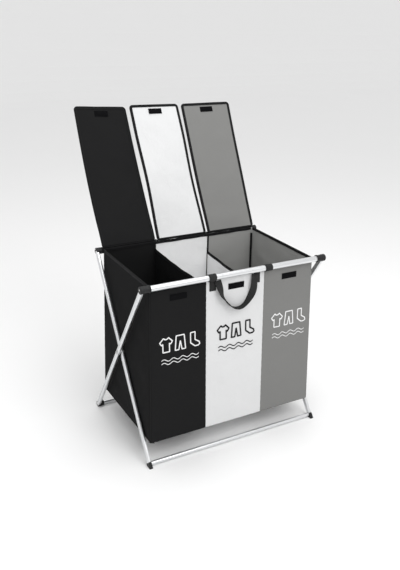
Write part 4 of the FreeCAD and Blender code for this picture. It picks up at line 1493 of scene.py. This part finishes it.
@dataclass
class Sign:
    """Simple garment outlines printed on a front panel, over two thin wavy lines."""

    shape: BagShape
    compartment: Compartment
    centre: float
    top: float = 0.408
    foot: float = 0.326
    tall: float = 0.045
    pitch: float = 0.046
    spread: float = 0.041
    line_reach: float = 0.062
    line_gap: float = 0.011
    line_wave: float = 0.0035
    line_length: float = 0.031

    SHIRT = ((-0.5, 0.72), (-0.2, 1.0), (-0.08, 0.9), (0.08, 0.9), (0.2, 1.0), (0.5, 0.72), (0.36, 0.52),
             (0.26, 0.6), (0.26, 0.0), (-0.26, 0.0), (-0.26, 0.6), (-0.36, 0.52))
    TROUSERS = ((-0.32, 1.0), (0.32, 1.0), (0.42, 0.0), (0.13, 0.0), (0.0, 0.62), (-0.13, 0.0), (-0.42, 0.0))
    SOCK = ((-0.28, 1.0), (0.1, 1.0), (0.1, 0.44), (0.44, 0.24), (0.48, 0.08), (0.36, 0.0), (0.08, 0.0),
            (-0.28, 0.28))

    def build(self) -> None:
        """Print three garments side by side and two wavy lines under them."""
        stroke = 0.0052 if self.compartment is Compartment.WHITE else 0.0036
        low = self.top - self.tall
        for index, outline in enumerate((self.SHIRT, self.TROUSERS, self.SOCK)):
            at = self.centre + (index - 1) * self.pitch
            points = np.array([(at + x * self.spread, low + z * self.tall) for x, z in outline])
            self.ribbon(f"sign_{self.compartment.word}_{index + 1}", points, stroke, True)
        x = np.linspace(self.centre - self.line_reach, self.centre + self.line_reach, 90)
        for index in (0, 1):
            wave = np.sin((x - self.centre) * 2 * math.pi / self.line_length)
            z = self.foot + self.line_gap * index + self.line_wave * wave
            self.ribbon(f"sign_{self.compartment.word}_line_{index + 1}", np.stack([x, z], axis=1),
                        0.6 * stroke, False)

    def ribbon(self, name: str, line: Array, width: float, closed: bool) -> None:
        """A stroke of ink that follows the cloth.

        Args:
            name: The piece's name.
            line: (n, 2) places along the stroke's middle, as X and Z.
            width: How wide the stroke is.
            closed: Whether its end meets its start.
        """
        line = np.vstack([line, line[:1]]) if closed else line
        run = run_along(line)
        even = np.linspace(0, run[-1], max(30, int(run[-1] / 0.0012)))
        path = np.stack([np.interp(even, run, line[:, i]) for i in range(2)], axis=1)
        step = np.roll(path, -1, axis=0) - np.roll(path, 1, axis=0) if closed else np.gradient(path, axis=0)
        if closed:
            step[0] = step[-1] = path[1] - path[-2]
        step = unit(step)
        side = np.stack([-step[:, 1], step[:, 0]], axis=1)
        panel = LongPanel(self.shape, Wall.FRONT, self.compartment)

        def surface(s: Array, t: Array) -> Array:
            """The stroke on the panel's face."""
            i = np.rint(s * (len(path) - 1)).astype(int)
            flat = path[i] + side[i] * ((t - 0.5) * width)[:, None]
            y = panel.depth_at(flat[:, 0], flat[:, 1]) - 0.0007
            return np.stack([flat[:, 0], y, flat[:, 1]], axis=1)

        item = lay_grid(name, len(path) - 1, 2, surface, (float(run[-1]), width))
        item.data.materials.append(INKS[self.compartment].material())
        apply_modifier(item, "SOLIDIFY", thickness=0.0002, offset=0.0)
        smooth(item, 60)
        place_piece(item, Wall.FRONT.body)


# ---------------------------------------------------------------- frames


@dataclass
class Frames:
    """The crossed frames, which are the CAD nodes themselves in better finishes."""

    metal_rough: float = 0.3

    def build(self) -> None:
        """Dress every hard node and round off its shading."""
        along_x = DrawnMetal("rail_metal", "aluminium", rough=self.metal_rough, stretch=(0.012, 1.0, 1.0))
        lean = self.leg_lean()
        inner = DrawnMetal("inner_leg_metal", "aluminium", rough=self.metal_rough,
                           stretch=(1.0, 1.0, 0.012), turn=-lean)
        outer = DrawnMetal("outer_leg_metal", "aluminium", rough=self.metal_rough,
                           stretch=(1.0, 1.0, 0.012), turn=lean)
        finishes: dict[str, Finish] = {"rail": along_x, "inner_leg": inner, "outer_leg": outer,
                                       "corner": PLASTIC, "foot": PLASTIC, "spacers": PLASTIC,
                                       "screws": STEEL, "rivets": STEEL}
        for name, node in frame["nodes"].items():
            keys = [k for k in finishes if k in name]
            if not keys or node.hide_render:
                continue
            finish = finishes["screws" if "screws" in keys else keys[0]]
            node.data.materials.clear()
            node.data.materials.append(finish.material())
            weld = node.modifiers.new("weld", "WELD")
            weld.merge_threshold = 0.00001
            only(node)
            bpy.ops.object.shade_smooth()
            split = node.modifiers.new("edges", "EDGE_SPLIT")
            split.split_angle = math.radians(32)
            log.info("%s: dressed in %s", name, finish.name)

    def leg_lean(self) -> float:
        """The angle between a leg and the vertical, from the inner leg's box."""
        low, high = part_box("inner_leg_left")
        return math.atan2(high.y - low.y - 0.016, high.z - low.z - 0.016)


# ---------------------------------------------------------------- studio


@dataclass
class Studio:
    """A pale floor, soft lights and the camera."""

    middle: float
    turn: float = -28.99
    height: float = 18.93
    roll: float = 0.803
    distance: float = 2.1687
    lens: float = 42.88
    rise: float = -0.0484
    aside: float = -0.0261
    level: float = 0.5672
    sky_strength: float = 0.85
    aim_height: float = 0.45

    def build(self) -> None:
        """Set up the floor, the lights and the camera."""
        self.floor()
        self.light("key", (0.3, -2.6, 2.9), 1.8, 38.0)
        self.light("fill", (-2.4, -1.6, 1.6), 2.4, 2.0)
        self.light("top", (0.1, 0.0, 3.0), 2.0, 26.0)
        world = bpy.data.worlds.new("studio")
        world.use_nodes = True
        sky = world.node_tree.nodes["Background"].inputs
        sky["Color"].default_value, sky["Strength"].default_value = (1.0, 1.0, 1.0, 1.0), self.sky_strength
        bpy.context.scene.world = world
        bpy.context.scene.view_settings.view_transform = "Standard"
        self.camera()

    def floor(self) -> None:
        """A wide pale floor, which curves up far behind."""
        def surface(s: Array, t: Array) -> Array:
            """Flat, then a sweep upwards at the back."""
            x = (s - 0.5) * 30
            y = -12 + t * 30
            rise = np.clip(y - 9, 0, None)
            return np.stack([x, y, 0.12 * rise**2], axis=1)

        item = lay_grid("studio_floor", 8, 60, surface, (30.0, 30.0))
        made = bpy.data.materials.new("floor_paint")
        made.use_nodes = True
        graph = Graph(made.node_tree)
        shader = made.node_tree.nodes["Principled BSDF"]
        place = graph.add("ShaderNodeTexCoord").outputs["Object"]
        mottle = graph.group(mottle_group(), Vector=place, Size=1.5, Contrast=0.4)
        graph.feed(shader.inputs["Base Color"],
                   graph.blend(mottle.outputs[0], (0.88, 0.88, 0.88, 1), (0.92, 0.92, 0.92, 1)))
        graph.fill(shader, {"Roughness": 0.7})
        item.data.materials.append(made)

    def put(self, name: str, data: bpy.types.ID) -> bpy.types.Object:
        """A new object in the scene that holds this light or camera."""
        item = bpy.data.objects.new(name, data)
        bpy.context.scene.collection.objects.link(item)
        return item

    def light(self, name: str, place: Sequence[float], size: float, power: float) -> None:
        """An area light aimed at the middle of the object.

        Args:
            name: Its name.
            place: Where it stands.
            size: The side of its square.
            power: Its power in watts.
        """
        data = bpy.data.lights.new(name, "AREA")
        data.size, data.energy = size, power
        item = self.put(name, data)
        item.location = place
        aim = Vector((0.0, self.middle, self.aim_height)) - Vector(place)
        item.rotation_euler = aim.to_track_quat("-Z", "Y").to_euler()

    def camera(self) -> None:
        """The camera, at the viewing angle the object is shown from."""
        az, el, roll = (math.radians(a) for a in (self.turn, self.height, self.roll))
        back = Vector((math.sin(az) * math.cos(el), -math.cos(az) * math.cos(el), math.sin(el)))
        right = (-back).cross(Vector((0, 0, 1))).normalized()
        up = right.cross(-back)
        side = math.cos(roll) * right + math.sin(roll) * up
        over = math.cos(roll) * up - math.sin(roll) * right
        data = bpy.data.cameras.new("camera")
        data.lens, data.shift_y = self.lens, self.rise
        item = self.put("camera", data)
        turn = Matrix((side, over, back)).transposed()
        place = Vector((self.aside, self.middle, self.level)) + back * self.distance
        item.matrix_world = Matrix.Translation(place) @ turn.to_4x4()
        bpy.context.scene.camera = item


def main() -> None:
    """Build the object in order."""
    logging.basicConfig(level=logging.INFO, format="%(name)s %(message)s")
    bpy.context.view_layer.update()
    shape = BagShape.measured()
    Bag(shape).build()
    Lid(shape, Compartment.BLACK, 25.5, bow=-0.011, warp=0.001, tip_back=0.005, tip_twist=0.015,
        fan=-0.0092, flare=0.02).build()
    Lid(shape, Compartment.WHITE, 26.0, bow=0.0, warp=-0.010, tip_back=0.004, tip_twist=0.004,
        fan=-0.0055).build()
    Lid(shape, Compartment.GREY, 27.2, bow=-0.003, warp=0.002, fan=0.0065, flare=0.05).build()
    Handle(shape).build()
    for compartment, centre in ((Compartment.BLACK, -0.191), (Compartment.WHITE, 0.002),
                                (Compartment.GREY, 0.200)):
        Sign(shape, compartment, centre).build()
    Frames().build()
    Studio(shape.middle).build()


if __name__ == "__main__":
    main()
